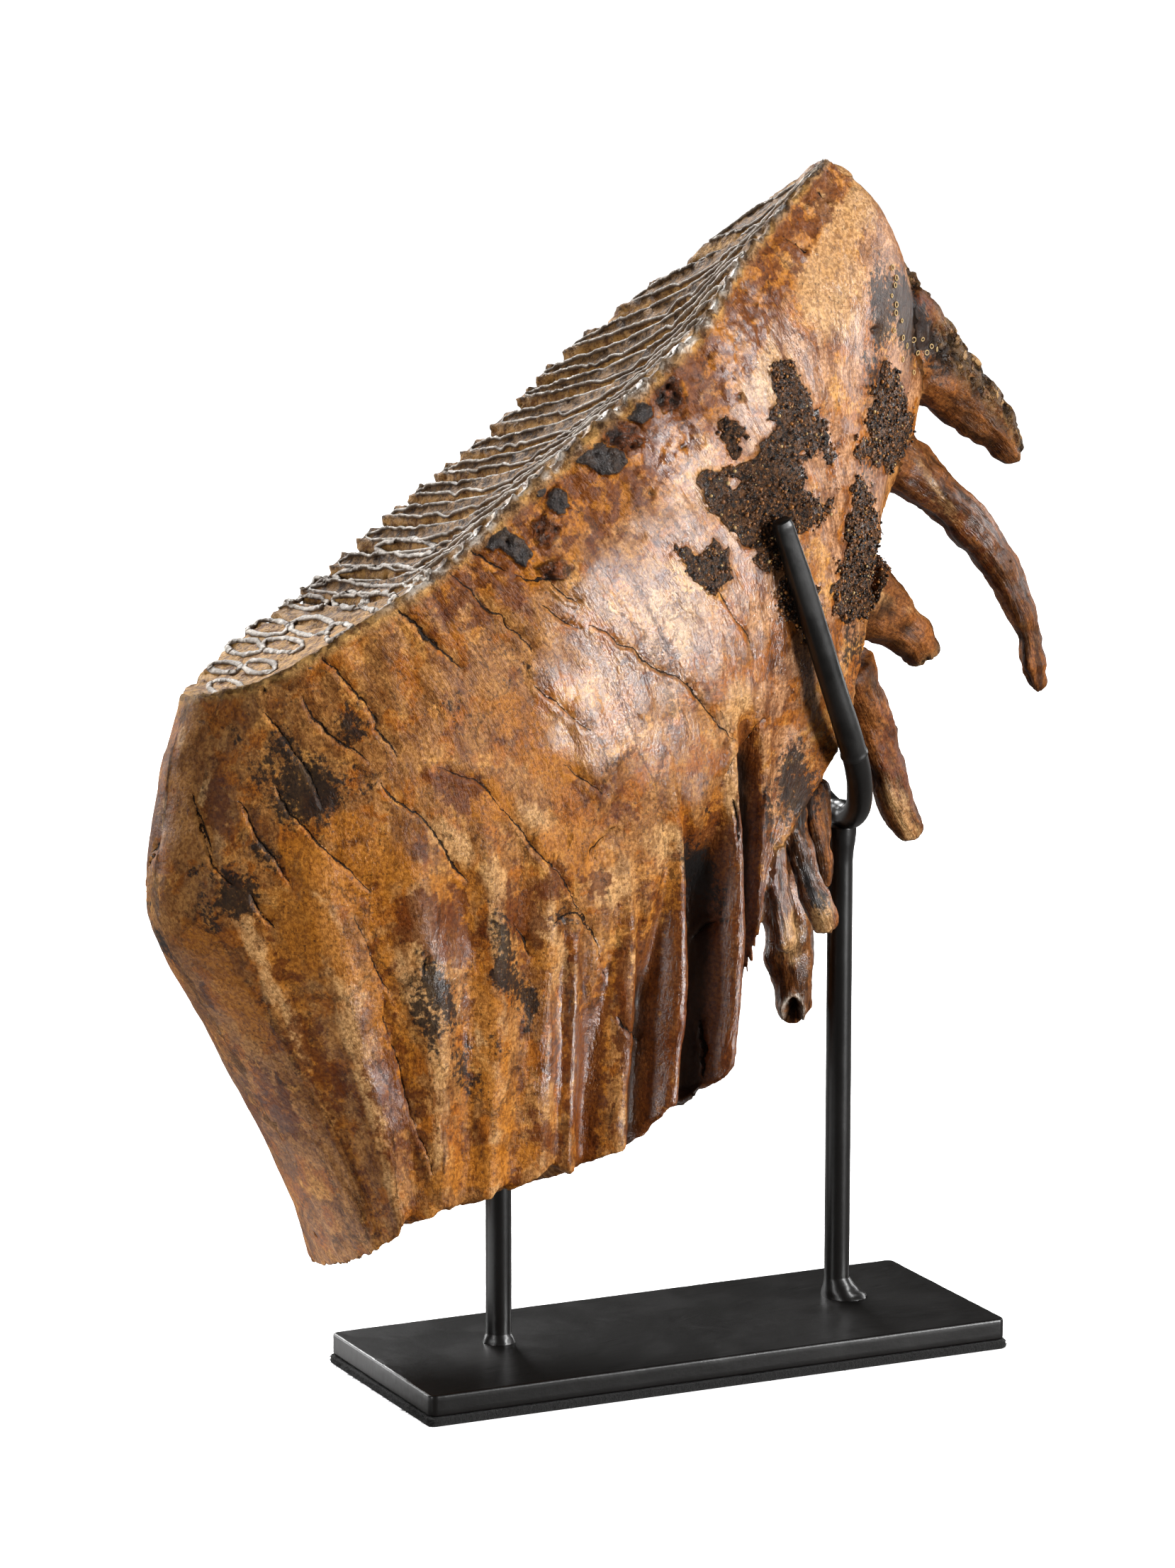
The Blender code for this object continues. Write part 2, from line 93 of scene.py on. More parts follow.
ROOTS = {
    "front_root": (((77, 14, 321), (93, 15, 307), (108, 16, 295), (120, 16, 284), (129, 16, 272)),
                   (17.0, 13.6, 11.0, 7.9, 3.9), 0.75),
    "claw_root": (((68, 8, 282), (82, 9, 275), (96, 10, 265), (110, 11, 252), (122, 11, 236),
                   (129, 10, 220), (132, 9, 207), (133, 9, 199)),
                  (13.0, 9.2, 7.4, 6.8, 6.0, 4.6, 3.7, 2.6), 0.9),
    "front_shoulder": (((62, 14, 346), (76, 15, 335), (90, 15, 320), (104, 16, 303), (114, 16, 289)),
                       (11.0, 9.0, 8.5, 8.0, 5.0), 0.85),
    "peak": (((45, 7, 356), (51, 7, 361.5), (56, 7.5, 364.5), (61, 8, 362)), (4.0, 5.0, 5.2, 4.0), 1.0),
    "stub_root": (((62, 2, 236), (76, 4, 228), (86, 5, 220), (90, 5, 214)), (14.0, 9.2, 6.6, 5.0), 1.0),
    "behind_root": (((62, 8, 214), (71, 10, 198), (78, 10, 181), (82, 9, 169), (89, 8, 156)),
                    (10.1, 7.9, 6.8, 5.7, 3.5), 1.0),
    "left_finger": (((28, -8, 182), (27, -14, 168), (28, -17, 149), (31, -18, 131)),
                    (6.6, 4.2, 3.7, 3.7), 0.9),
    "right_finger": (((34, -6, 181), (36, -12, 166), (40, -15, 149), (46, -16, 135)),
                     (6.6, 4.6, 4.2, 3.9), 0.9),
    "flange_root": (((45, -2, 179), (47, -5, 164), (49, -6, 154), (50, -6, 146)),
                    (5.7, 4.4, 3.5, 2.2), 1.3),
    "hollow_root": (((34, 13, 192), (41, 14, 169), (46, 15, 148), (48, 15, 133), (49, 14, 117),
                     (50, 13, 101)), (13.0, 11.0, 9.5, 8.3, 7.0, 5.3), 1.0),
    "spongy_stub": (((26, 0, 155), (27, -3, 145), (28, -4, 137)), (5.3, 4.4, 2.6), 1.0),
}

# ---- fine form of the tooth --------------------------------------------------------------
SKIN_VOXEL = 0.75      # grid of the skin before its relief is cut
SKIN_FACES = 190000
SWEEP = 0.050              # plates swing forward by this share of the tooth at the near rim
PLATE_HALF = 0.24          # half a plate, as a share of the plates' spacing
TONGUE = 2.4               # plates' rounded ends stand out past the far rim
ROOT_SIDES, ROOT_RINGS = 40, 90
ROOT_COORDINATES = (0.9, 0.5, 0.0)   # roots count as this place, depth and across for the marks
SOFTEN_STEPS, ROUND_STEPS = 14, 24   # how far the roots' joints with the crown are rounded


def smooth(x, low, high):
    """A soft step: 3u^2 - 2u^3 of x's share of the way from low to high."""
    u = np.clip((x - low) / (high - low), 0.0, 1.0)
    return u * u * (3.0 - 2.0 * u)


def bell(x, width):
    """A bump of height 1 at x = 0: exp(-(x / width)^2)."""
    return np.exp(-(x / width) ** 2)


def hash_unit(cells, seed):
    """A steady pseudo-random number in -1..1 for each whole-number cell."""
    h = cells[..., 0] * 374761393 + cells[..., 1] * 668265263 + cells[..., 2] * 1442695041
    h = (h + seed * 1274126177) & 0xFFFFFFFF
    h = ((h ^ (h >> 13)) * 1103515245) & 0xFFFFFFFF
    h = ((h ^ (h >> 15)) * 2246822519) & 0xFFFFFFFF
    return ((h ^ (h >> 16)) & 0xFFFFFF) / 8388607.5 - 1.0


def noise(points, size, seed, octaves=1):
    """Value noise in -1..1: corner values of cells of that size blended by 6u^5-15u^4+10u^3.

    Each further octave has half the size and half the weight."""
    total, weight, norm = 0.0, 1.0, 0.0
    for octave in range(octaves):
        where = points / size * 2.0**octave
        cell = np.floor(where).astype(np.int64)
        u = where - cell
        u = u * u * u * (u * (u * 6 - 15) + 10)
        value = 0.0
        for corner in itertools.product((0, 1), repeat=3):
            share = np.where(np.array(corner) == 1, u, 1 - u).prod(axis=-1)
            value = value + share * hash_unit(cell + np.array(corner), seed + 17 * octave)
        total = total + weight * value
        norm += weight
        weight *= 0.5
    return total / norm


def noise_1d(x, size, seed, octaves=1):
    """Value noise along a line."""
    x = np.asarray(x, float)
    return noise(np.stack([x, np.full_like(x, 0.37), np.full_like(x, 5.1)], -1), size, seed, octaves)


def cubic(start, end, rise_start, rise_end, u):
    """Cubic from start to end over u = 0..1 that leaves and arrives with the two rises."""
    return (start * (2 * u**3 - 3 * u**2 + 1) + end * (3 * u**2 - 2 * u**3)
            + rise_start * (u**3 - 2 * u**2 + u) + rise_end * (u**3 - u**2))


def hermite(knots, values, x):
    """Cubic through the values at the knots, each slope the one between its neighbours."""
    knots, values, x = np.asarray(knots, float), np.asarray(values, float), np.asarray(x, float)
    slope = np.gradient(values, knots, axis=0)
    i = np.clip(np.searchsorted(knots, x, side="right") - 1, 0, len(knots) - 2)
    step = knots[i + 1] - knots[i]
    u = np.clip((x - knots[i]) / step, 0.0, 1.0)
    shape = x.shape + (1,) * (values.ndim - 1)
    u, step = u.reshape(shape), step.reshape(shape)
    return cubic(values[i], values[i + 1], step * slope[i], step * slope[i + 1], u)


def middle_plane(place, depth):
    """Point of the tooth's middle: cubic along each lamella line, then cubic across them."""
    knots = np.array([line[0] for line in LAMELLA_LINES])
    lines = np.array([line[1] for line in LAMELLA_LINES], float)
    steps = np.linspace(0.0, 1.0, lines.shape[1])
    at_depth = hermite(steps, lines.transpose(1, 0, 2), depth)
    flat_place = np.broadcast_to(place, depth.shape).ravel()
    flat = at_depth.reshape(-1, len(knots), 2)
    slope = np.gradient(flat, knots, axis=1)
    i = np.clip(np.searchsorted(knots, flat_place, side="right") - 1, 0, len(knots) - 2)
    step = (knots[i + 1] - knots[i])[:, None]
    u = ((flat_place - knots[i]) / step[:, 0])[:, None]
    row = np.arange(len(i))
    xz = cubic(flat[row, i], flat[row, i + 1], step * slope[row, i], step * slope[row, i + 1], u)
    y = MIDDLE_BACK + MIDDLE_BOW * flat_place**2
    return np.stack([xz[:, 0], y, xz[:, 1]], axis=1).reshape(depth.shape + (3,))


def half_width(place, depth):
    """Vector from the middle to the far face, crown blended into base, bulged half way."""
    crown = np.stack([np.interp(place, HALF_PLACES, c) for c in np.transpose(HALF_CROWN)], -1)
    base = np.stack([np.interp(place, HALF_PLACES, c) for c in np.transpose(HALF_BASE)], -1)
    mix = smooth(depth, 0.1, 1.0)[..., None]
    half = crown * (1 - mix) + base * mix
    half[..., 1] += SIDE_BULGE * np.sin(np.pi * np.clip(depth / 0.7, 0.0, 1.0))
    return half


def end_rounding(place, depth):
    """Share of the width left near both ends, where the sides close in superellipses."""
    back = 0.30 - 0.10 * smooth(depth, 0.0, 0.4)
    power = 1.8 + 0.4 * smooth(depth, 0.0, 0.4)
    front = 0.24 - 0.10 * smooth(depth, 0.0, 0.35)
    to_back = np.clip(1 - place / back, 0.0, 1.0)
    to_front = np.clip(1 - (1 - place) / front, 0.0, 1.0)
    return (1 - to_back**power) ** (1 / power) * (1 - to_front**2) ** 0.5


def plate_phase(place, depth, across):
    """Plates counted from the back: whole numbers lie in the cement, halves in the plates.

    Near the near rim the plates swing forward, so the phase lags there."""
    lag = SWEEP * smooth(-across, 0.45, 1.0) * (1 - smooth(depth, 0.0, 0.30))
    return (place - lag) * PLATES


def from_plate(phase):
    """Signed distance from the nearest plate's middle, in plates: -0.5 to 0.5."""
    return phase - np.floor(phase) - 0.5


def end_fade(place):
    """1 along the tooth, 0 at its two ends."""
    return smooth(place, 0.0, 0.05) * smooth(place, 1.0, 0.93)


def folds(phase, depth):
    """Ridges and troughs down the sides: heights joined by smooth steps, each growing from its start."""
    knots = np.array(FOLDS)
    phase = np.clip(phase, knots[0, 0], knots[-1, 0] - 1e-6)
    i = np.searchsorted(knots[:, 0], phase, side="right") - 1
    u = smooth(phase, knots[i, 0], knots[i + 1, 0])
    height = knots[i, 1] * (1 - u) + knots[i + 1, 1] * u
    start = knots[i, 2] * (1 - u) + knots[i + 1, 2] * u
    return height * smooth(depth, start, start + FOLD_RAMP)


def worn(place):
    """How far the plates are worn open: 0 over the back third, 1 from there on."""
    return smooth(place, 0.22, 0.34)


def grinding_relief(place, across):
    """Height on the grinding surface: cement worn low, dentine hollow, enamel proud between."""
    off = np.abs(from_plate(plate_phase(place, np.zeros_like(place), across)))
    enamel = bell(off - PLATE_HALF, 0.07)
    dentine = smooth(off, PLATE_HALF, PLATE_HALF - 0.12)
    cement = smooth(off, PLATE_HALF, PLATE_HALF + 0.12)
    return (0.6 * enamel - 0.7 * dentine - 1.3 * cement) * (0.1 + 0.9 * worn(place))


def rim_lobes(place, depth, across):
    """How far plates' rounded ends stand out at the rims, with notches at the cement."""
    off = from_plate(plate_phase(place, depth, across)) / 0.46
    lobe = np.sqrt(np.clip(1 - off**2, 0.0, 1.0)) - 0.75
    far = TONGUE * (across > 0) * (1 - smooth(depth, 0.03, 0.16))
    near = 0.8 * (across < 0) * (1 - smooth(depth, 0.05, 0.16))
    return lobe * (far + near) * end_fade(place)


def tooth_surface(place, depth, across):
    """Point of the tooth: middle plus across half widths, fluted, lobed and worn hollow."""
    rounding = end_rounding(place, depth)
    half = half_width(place, depth)
    point = middle_plane(place, depth) + (across * rounding)[..., None] * half
    side = np.sign(across) * smooth(np.abs(across), 0.8, 1.0)
    fold = folds(plate_phase(place, depth, across), depth)
    fold = np.where(across > 0, np.maximum(fold, -FAR_FOLD), fold)
    out = fold + rim_lobes(place, depth, across)
    point[..., 1] += side * out * end_fade(place)
    on_top = smooth(depth, 0.05, 0.0)
    sag = GRIND_HOLLOW * (across**2 - 1) * rounding
    relief = grinding_relief(place, across) * end_fade(place)
    return point + (on_top * (sag + relief))[..., None] * GRIND_UP


def gap_top(place, gaps):
    """Depth at which the base opens: 1, or up to the gaps' top where two plates part."""
    first, last, top, _, width = gaps
    turn = place * PLATES
    nearest = np.rint(turn)
    there = (nearest >= first) & (nearest <= last)
    share = np.clip((np.abs(turn - nearest) / (width / 2) - 0.5) / 0.5, 0.0, 1.0)
    return np.where(there, top + (1 - top) * share, 1.0)


def base_depth(place, across):
    """How far down the base reaches: torn, parted by the slots, and hollow in the pockets."""
    torn = 0.012 * np.sin(37 * place) + 0.010 * np.sin(91 * place + 1.0)
    torn = torn + 0.010 * noise_1d(place * PLATES, 0.45, 11, 3)
    reach = 1.0 + torn * smooth(place, 0.75, 0.6)
    inside = smooth(np.abs(across), POCKETS[3] + 0.04, POCKETS[3] - 0.04)
    return reach * (1 - inside * (1 - gap_top(place, POCKETS)))


def crown_loop():
    """(depth share, across) round a section: near side, base, far side, top."""
    side = np.linspace(0.0, 1.0, 72) ** 1.15
    base = np.linspace(-1.0, 1.0, 44)[1:-1]
    top = np.linspace(1.0, -1.0, 64)[1:-1]
    share = np.concatenate([side, np.ones(len(base)), side[::-1], np.zeros(len(top))])
    across = np.concatenate([-np.ones(len(side)), base, np.ones(len(side)), top])
    return share, across


def crown_grid():
    """Crown and base over (place, loop): points, their tooth coordinates and their quads."""
    share, across = crown_loop()
    places = np.concatenate([[0.0, 0.0015, 0.004], np.linspace(0.007, 0.993, 32 * PLATES), [0.997, 1.0]])
    place = np.repeat(places[:, None], len(share), axis=1)
    side = np.broadcast_to(across, place.shape)
    depth = share * base_depth(place, side)
    points = tooth_surface(place, depth, side)
    coordinates = np.stack([place, depth, side], axis=-1)
    return points, coordinates


def grid_quads(rows, columns):
    """Quads of a grid whose columns close into a ring, facing out for rings that turn right."""
    index = np.arange(rows * columns).reshape(rows, columns)
    after = np.roll(index, -1, axis=1)
    return np.stack([index[:-1], after[:-1], after[1:], index[1:]], axis=-1).reshape(-1, 4)


def ball_faces(balls, sides):
    """Triangles of many balls, each a point, two rings of so many sides, and another point."""
    low = np.arange(sides) + 1
    after = np.roll(low, -1)
    high, high_after = low + sides, after + sides
    foot, top = np.zeros_like(low), np.full_like(low, 2 * sides + 1)
    one = np.concatenate([np.stack(corners, -1) for corners in (
        (foot, after, low), (low, after, high_after), (low, high_after, high), (high, high_after, top))])
    return (one[None] + (2 * sides + 2) * np.arange(balls)[:, None, None]).reshape(-1, 3)


def capped_quads(tubes, rings, sides):
    """Quads of many short tubes of an even number of sides, with both ends of each closed."""
    index = np.arange(tubes * rings * sides).reshape(tubes, rings, sides)
    after = np.roll(index, -1, axis=2)
    walls = np.stack([index[:, :-1], after[:, :-1], after[:, 1:], index[:, 1:]], -1).reshape(-1, 4)
    ends = [ring[:, [0, k, k + 1, k + 2]] for ring in (index[:, 0, ::-1], index[:, -1])
            for k in range(1, sides - 2, 2)]
    return np.concatenate([walls] + ends)


def sweep(path, share, sides, flat=1.0, start=(1.0, 0.0, 0.3)):
    """Unit rings square to a cubic path at shares of it: (middles, rings, directions, angles)."""
    path, share = np.asarray(path, float), np.asarray(share, float)
    centre = hermite(np.linspace(0.0, 1.0, len(path)), path, share)
    along = np.gradient(centre, share, axis=0)
    along /= np.linalg.norm(along, axis=1, keepdims=True)
    out = np.array(start) - (along @ np.array(start))[:, None] * along
    out /= np.linalg.norm(out, axis=1, keepdims=True)
    third = np.cross(along, out)
    angle = np.arange(sides) * 2 * np.pi / sides
    deep = np.broadcast_to(flat, share.shape)[:, None, None] * np.sin(angle)[None, :, None]
    ring = np.cos(angle)[None, :, None] * out[:, None] + deep * third[:, None]
    return centre, ring, along, angle


def new_mesh(name, points, faces, attributes=()):
    """Mesh object from millimetre points, faces as an array, and named point attributes."""
    mesh = bpy.data.meshes.new(name)
    points = np.asarray(points, float).reshape(-1, 3)
    faces = np.asarray(faces)
    mesh.vertices.add(len(points))
    mesh.vertices.foreach_set("co", (points * MM).ravel())
    corners = faces.shape[1]
    mesh.loops.add(faces.size)
    mesh.loops.foreach_set("vertex_index", faces.ravel())
    mesh.polygons.add(len(faces))
    mesh.polygons.foreach_set("loop_start", np.arange(len(faces)) * corners)
    mesh.polygons.foreach_set("loop_total", np.full(len(faces), corners))
    mesh.update(calc_edges=True)
    item = bpy.data.objects.new(name, mesh)
    bpy.context.scene.collection.objects.link(item)
    for key, values in dict(attributes).items():
        put(mesh, key, values)
    return item


def put(mesh, name, values):
    """Store a value or a vector for each vertex."""
    values = np.asarray(values, np.float32)
    kind, field = ("FLOAT_VECTOR", "vector") if values.ndim == 2 else ("FLOAT", "value")
    layer = mesh.attributes.get(name) or mesh.attributes.new(name, kind, "POINT")
    layer.data.foreach_set(field, values.ravel())


def get(mesh, name, width):
    """Read an attribute back as an array."""
    field = "vector" if width == 3 else "value"
    values = np.empty(len(mesh.vertices) * width, np.float32)
    mesh.attributes[name].data.foreach_get(field, values)
    return values.reshape(-1, width).astype(float) if width == 3 else values.astype(float)


def vertex_array(mesh, normals=False):
    """Vertex positions in millimetres, or vertex normals."""
    values = np.empty(len(mesh.vertices) * 3, np.float32)
    if normals:
        mesh.vertex_normals.foreach_get("vector", values)
        return values.reshape(-1, 3).astype(float)
    mesh.vertices.foreach_get("co", values)
    return values.reshape(-1, 3).astype(float) / MM


def settle(item):
    """Replace an object's mesh by the one that its modifiers make."""
    graph = bpy.context.evaluated_depsgraph_get()
    mesh = bpy.data.meshes.new_from_object(item.evaluated_get(graph))
    item.modifiers.clear()
    item.data = mesh
    return mesh


def geometry_tree(name):
    """A new geometry tree with one way in and one way out: (tree, what comes in)."""
    tree = bpy.data.node_groups.new(name, "GeometryNodeTree")
    for way in ("INPUT", "OUTPUT"):
        tree.interface.new_socket("Geometry", in_out=way, socket_type="NodeSocketGeometry")
    return tree, tree.nodes.new("NodeGroupInput").outputs[0]


def store_vector(tree, flow, name, value):
    """Store a vector for each vertex under a name, and return what flows on."""
    store = add(tree, "GeometryNodeStoreNamedAttribute", {"Name": name}, data_type="FLOAT_VECTOR")
    tree.links.new(flow, store.inputs["Geometry"])
    tree.links.new(value, store.inputs["Value"])
    return store.outputs["Geometry"]


def run_tree(skin, tree, flow):
    """Apply a finished geometry tree to the skin and remove it."""
    tree.links.new(flow, tree.nodes.new("NodeGroupOutput").inputs[0])
    skin.modifiers.new(tree.name, "NODES").node_group = tree
    mesh = settle(skin)
    bpy.data.node_groups.remove(tree)
    return mesh


def carry_coordinates(skin, source, names):
    """Give each vertex of the skin the source's vectors at the nearest point of its surface."""
    tree, flow = geometry_tree("carry_coordinates")
    shape = add(tree, "GeometryNodeObjectInfo", {"Object": source}).outputs["Geometry"]
    here = add(tree, "GeometryNodeInputPosition").outputs[0]
    for name in names:
        value = add(tree, "GeometryNodeInputNamedAttribute", {"Name": name}, data_type="FLOAT_VECTOR")
        sample = add(tree, "GeometryNodeSampleNearestSurface", {}, data_type="FLOAT_VECTOR")
        tree.links.new(shape, sample.inputs["Mesh"])
        tree.links.new(value.outputs["Attribute"], sample.inputs["Value"])
        tree.links.new(here, sample.inputs["Sample Position"])
        flow = store_vector(tree, flow, name, sample.outputs["Value"])
    return run_tree(skin, tree, flow)


def add(tree, kind, inputs=(), **settings):
    """Add a node; inputs maps socket names or numbers to values or to other sockets."""
    node = tree.nodes.new(kind)
    for name, value in settings.items():
        setattr(node, name, value)
    for key, value in dict(inputs).items():
        if isinstance(value, bpy.types.NodeSocket):
            tree.links.new(value, node.inputs[key])
        else:
            node.inputs[key].default_value = value
    return node


def steady_draws(count, seed, columns):
    """Columns of steady pseudo-random numbers in 0..1, one row for each of so many things."""
    cells = np.arange(count)[:, None] * np.array((1, 0, 0))
    return [0.5 + 0.5 * hash_unit(cells, seed + k) for k in range(columns)]


# ---- marks on the tooth: places in the view's frame ---------------------------------------
# Cracks: their run, then width in millimetres.
CRACKS = (
    (((631, 801), (648, 818), (662, 833), (687, 862), (708, 871), (716, 888), (735, 896), (750, 917)), 1.0),
    (((556, 850), (565, 864), (585, 879), (604, 901), (619, 915), (631, 925), (653, 944)), 1.2),
    (((730, 811), (742, 818), (776, 816), (784, 830), (798, 840), (820, 852)), 0.8),
    (((764, 852), (779, 862), (798, 874), (820, 890)), 0.7),
    (((456, 915), (457, 935), (474, 945), (489, 964), (511, 986), (523, 998), (535, 1017), (533, 1027),
      (550, 1047), (560, 1066)), 1.1),
    (((653, 774), (672, 784), (691, 796), (716, 804)), 1.0),
    (((361, 967), (375, 976)), 1.4),
    (((377, 1008), (394, 1027), (404, 1042), (414, 1059), (430, 1082), (444, 1110), (455, 1140)), 0.8),
    (((426, 981), (436, 1005), (448, 1020), (472, 1044), (482, 1049), (500, 1058), (520, 1078)), 1.0),
    (((345, 1136), (352, 1155), (362, 1180), (385, 1212), (410, 1250)), 0.6),
    (((386, 1108), (410, 1150), (448, 1185), (485, 1221), (521, 1258)), 0.8),
    (((536, 1105), (560, 1128), (592, 1148), (618, 1180), (640, 1225), (660, 1245)), 1.0),
    (((618, 1082), (650, 1096), (673, 1100), (690, 1118), (703, 1136)), 0.8),
    (((703, 1136), (745, 1185), (770, 1215), (794, 1239), (805, 1260), (812, 1276), (842, 1324), (854, 1379)),
     0.9),
    (((539, 1379), (545, 1445), (564, 1506), (576, 1567), (612, 1658)), 0.5),
    (((867, 1167), (852, 1180), (836, 1197), (832, 1212)), 0.8),
    (((751, 967), (788, 997), (830, 1033)), 0.6),
    (((794, 1082), (830, 1106), (850, 1120)), 0.7),
    (((832, 880), (861, 892), (872, 908), (892, 914), (905, 930), (933, 945), (958, 954), (974, 967),
      (990, 990), (1003, 1010), (1031, 1043)), 0.9),
    (((1014, 833), (1036, 870), (1058, 900), (1065, 930)), 0.7),
    (((1079, 1015), (1062, 1030), (1046, 1048), (1036, 1070), (1027, 1091)), 0.6),
    (((1146, 262), (1158, 272), (1168, 287)), 1.2),
    (((1107, 334), (1122, 344), (1136, 355)), 1.0),
    (((722, 1300), (738, 1322), (747, 1350)), 0.6),
    (((784, 1302), (800, 1290), (812, 1286), (830, 1310)), 0.9),
    (((1036, 1130), (1041, 1160), (1040, 1190)), 1.0),
    (((280, 1165), (290, 1195), (300, 1225), (330, 1250)), 0.7),
    (((268, 1120), (284, 1160), (298, 1200)), 1.1),
    (((352, 1262), (366, 1285), (384, 1308)), 0.9),
    (((500, 1290), (520, 1330), (534, 1375), (550, 1400)), 0.6),
    (((600, 1350), (598, 1380)), 0.8),
    (((1010, 1300), (992, 1310), (978, 1325)), 0.6),
    (((870, 1435), (900, 1470)), 0.7),
    (((990, 1440), (996, 1480), (992, 1520)), 1.4),
)
# Soft-edged stains: centre, half lengths along and across, turn in degrees, strength.
# The dark stains are partly real stains and partly painted shade laid in the deep slots and gaps of the side.
DARK_STAINS_AND_SHADE = (
    (498, 1026, 32, 28, 60, 1.0), (432, 1115, 58, 46, 50, 1.25), (399, 1059, 22, 32, 10, 0.9),
    (372, 1086, 20, 30, 20, 0.8), (412, 1145, 30, 22, 40, 1.0), (336, 1261, 38, 26, 60, 1.2),
    (299, 1290, 36, 16, 80, 0.9), (290, 1235, 30, 12, 20, 0.7), (372, 1205, 34, 18, 55, 0.9),
    (618, 1400, 62, 20, 70, 1.1), (602, 1440, 60, 16, 75, 1.0), (711, 1354, 70, 16, 75, 1.0),
    (715, 1375, 46, 14, 65, 1.2), (742, 1412, 40, 14, 75, 1.2), (660, 1515, 46, 22, 75, 0.8),
    (700, 1480, 26, 14, 70, 0.6), (798, 1293, 16, 18, 0, 0.7), (984, 1230, 44, 26, 80, 1.15),
    (1087, 1147, 50, 15, 85, 0.9), (1128, 1110, 66, 24, 85, 1.2), (770, 1483, 8, 8, 0, 1.0),
    (1015, 1274, 26, 14, 80, 0.8), (450, 930, 24, 14, 30, 0.8), (560, 1175, 14, 10, 0, 0.7),
    (745, 945, 14, 10, 30, 0.8), (725, 965, 16, 8, 60, 0.6), (640, 1000, 40, 24, 30, 0.45),
    (700, 905, 60, 20, 40, 0.35), (1145, 1262, 30, 10, 70, 1.1), (1146, 1120, 40, 12, 90, 0.9),
    (330, 1040, 26, 12, 45, 0.7), (505, 1110, 30, 30, 0, 0.5), (1235, 540, 60, 18, 80, 0.8),
    (1242, 430, 70, 20, 85, 1.15), (1330, 360, 50, 12, 50, 0.5), (1000, 1130, 60, 8, 80, 0.5),
    (1285, 450, 80, 26, 62, 1.4), (1225, 640, 60, 12, 85, 0.7), (1200, 900, 50, 14, 80, 0.8),
)
RUST_STAINS = (
    (614, 1308, 62, 40, 30, 1.1), (739, 1293, 42, 34, 60, 1.0), (838, 1242, 30, 18, 20, 0.8),
    (935, 543, 30, 26, 0, 1.0), (884, 614, 32, 24, 30, 1.1), (757, 740, 22, 16, 0, 0.9),
    (775, 760, 16, 12, 0, 0.9), (837, 697, 26, 14, 30, 0.8), (710, 831, 20, 18, 0, 0.8),
    (560, 1560, 90, 40, 70, 0.7), (450, 1500, 90, 30, 60, 0.7), (600, 820, 30, 20, 10, 0.5),
    (310, 1140, 60, 22, 75, 0.9), (640, 1110, 50, 30, 30, 0.8), (820, 1500, 150, 26, 85, 0.8),
    (885, 1420, 120, 20, 88, 1.0), (1020, 1400, 110, 24, 88, 1.0), (770, 1600, 60, 24, 60, 0.7),
    (1080, 1200, 80, 16, 80, 0.8), (860, 1130, 60, 30, 20, 0.5), (395, 1560, 70, 20, 65, 0.7),
    (900, 800, 90, 40, 35, 0.35), (1075, 640, 20, 30, 0, 0.6), (1350, 760, 120, 34, 55, 0.5),
    (1340, 480, 90, 36, 50, 0.6), (1262, 1060, 90, 20, 75, 0.6), (780, 1245, 26, 24, 0, 0.8),
)
AMBER_STAINS = (
    (475, 1235, 80, 34, 30, 1.2), (548, 1221, 50, 26, 20, 1.0), (681, 1129, 46, 30, 40, 1.0),
    (326, 1391, 90, 20, 60, 1.1), (425, 1320, 60, 30, 60, 1.0), (680, 1650, 70, 22, 160, 1.3),
    (810, 1195, 60, 36, 20, 0.9), (900, 560, 120, 26, 122, 0.9), (800, 700, 130, 26, 130, 1.0),
    (690, 800, 60, 26, 140, 0.8), (720, 1010, 70, 46, 30, 0.6), (470, 1330, 100, 22, 60, 0.9),
    (560, 1480, 120, 22, 72, 0.8), (690, 1430, 100, 18, 78, 0.9), (760, 1340, 60, 20, 70, 0.6),
    (640, 1250, 50, 24, 20, 0.7), (780, 1090, 60, 30, 30, 0.8), (950, 1270, 90, 18, 85, 0.7),
    (860, 1010, 50, 60, 30, 0.5), (500, 1180, 70, 30, 20, 0.6), (1400, 880, 50, 20, 75, 0.6),
    (270, 1330, 40, 14, 60, 0.8), (700, 1560, 70, 20, 60, 0.8),
)
CREAM_STAINS = (
    (668, 1420, 70, 26, 75, 0.9), (774, 1337, 60, 18, 70, 0.9), (857, 1235, 44, 34, 60, 0.9),
    (948, 1207, 48, 30, 60, 1.0), (349, 1320, 44, 16, 60, 0.8), (482, 1345, 70, 14, 65, 0.9),
    (580, 1390, 70, 14, 65, 0.8), (1183, 281, 60, 60, 0, 1.0), (1163, 403, 90, 46, 80, 0.9),
    (955, 875, 50, 36, 60, 0.7), (640, 1190, 60, 20, 45, 0.8), (760, 1150, 40, 20, 45, 0.8),
    (1030, 1010, 60, 22, 110, 0.7), (1040, 1110, 60, 20, 85, 0.8), (640, 860, 40, 20, 30, 0.4),
    (263, 1047, 16, 4, 95, 1.6), (284, 1111, 26, 4, 95, 1.6), (1000, 700, 60, 40, 60, 0.5),
    (1080, 520, 80, 40, 70, 0.7), (400, 1420, 90, 12, 60, 0.8), (1240, 840, 40, 20, 60, 0.5),
    (1120, 1330, 40, 14, 85, 0.8), (1160, 1300, 40, 14, 70, 0.7), (1275, 1150, 60, 18, 70, 0.7),
    (1300, 860, 30, 22, 30, 0.6), (1330, 700, 70, 12, 52, 0.6), (700, 1250, 40, 14, 60, 0.7),
    (1130, 260, 50, 24, 130, 0.7), (310, 1210, 30, 10, 80, 0.6),
)
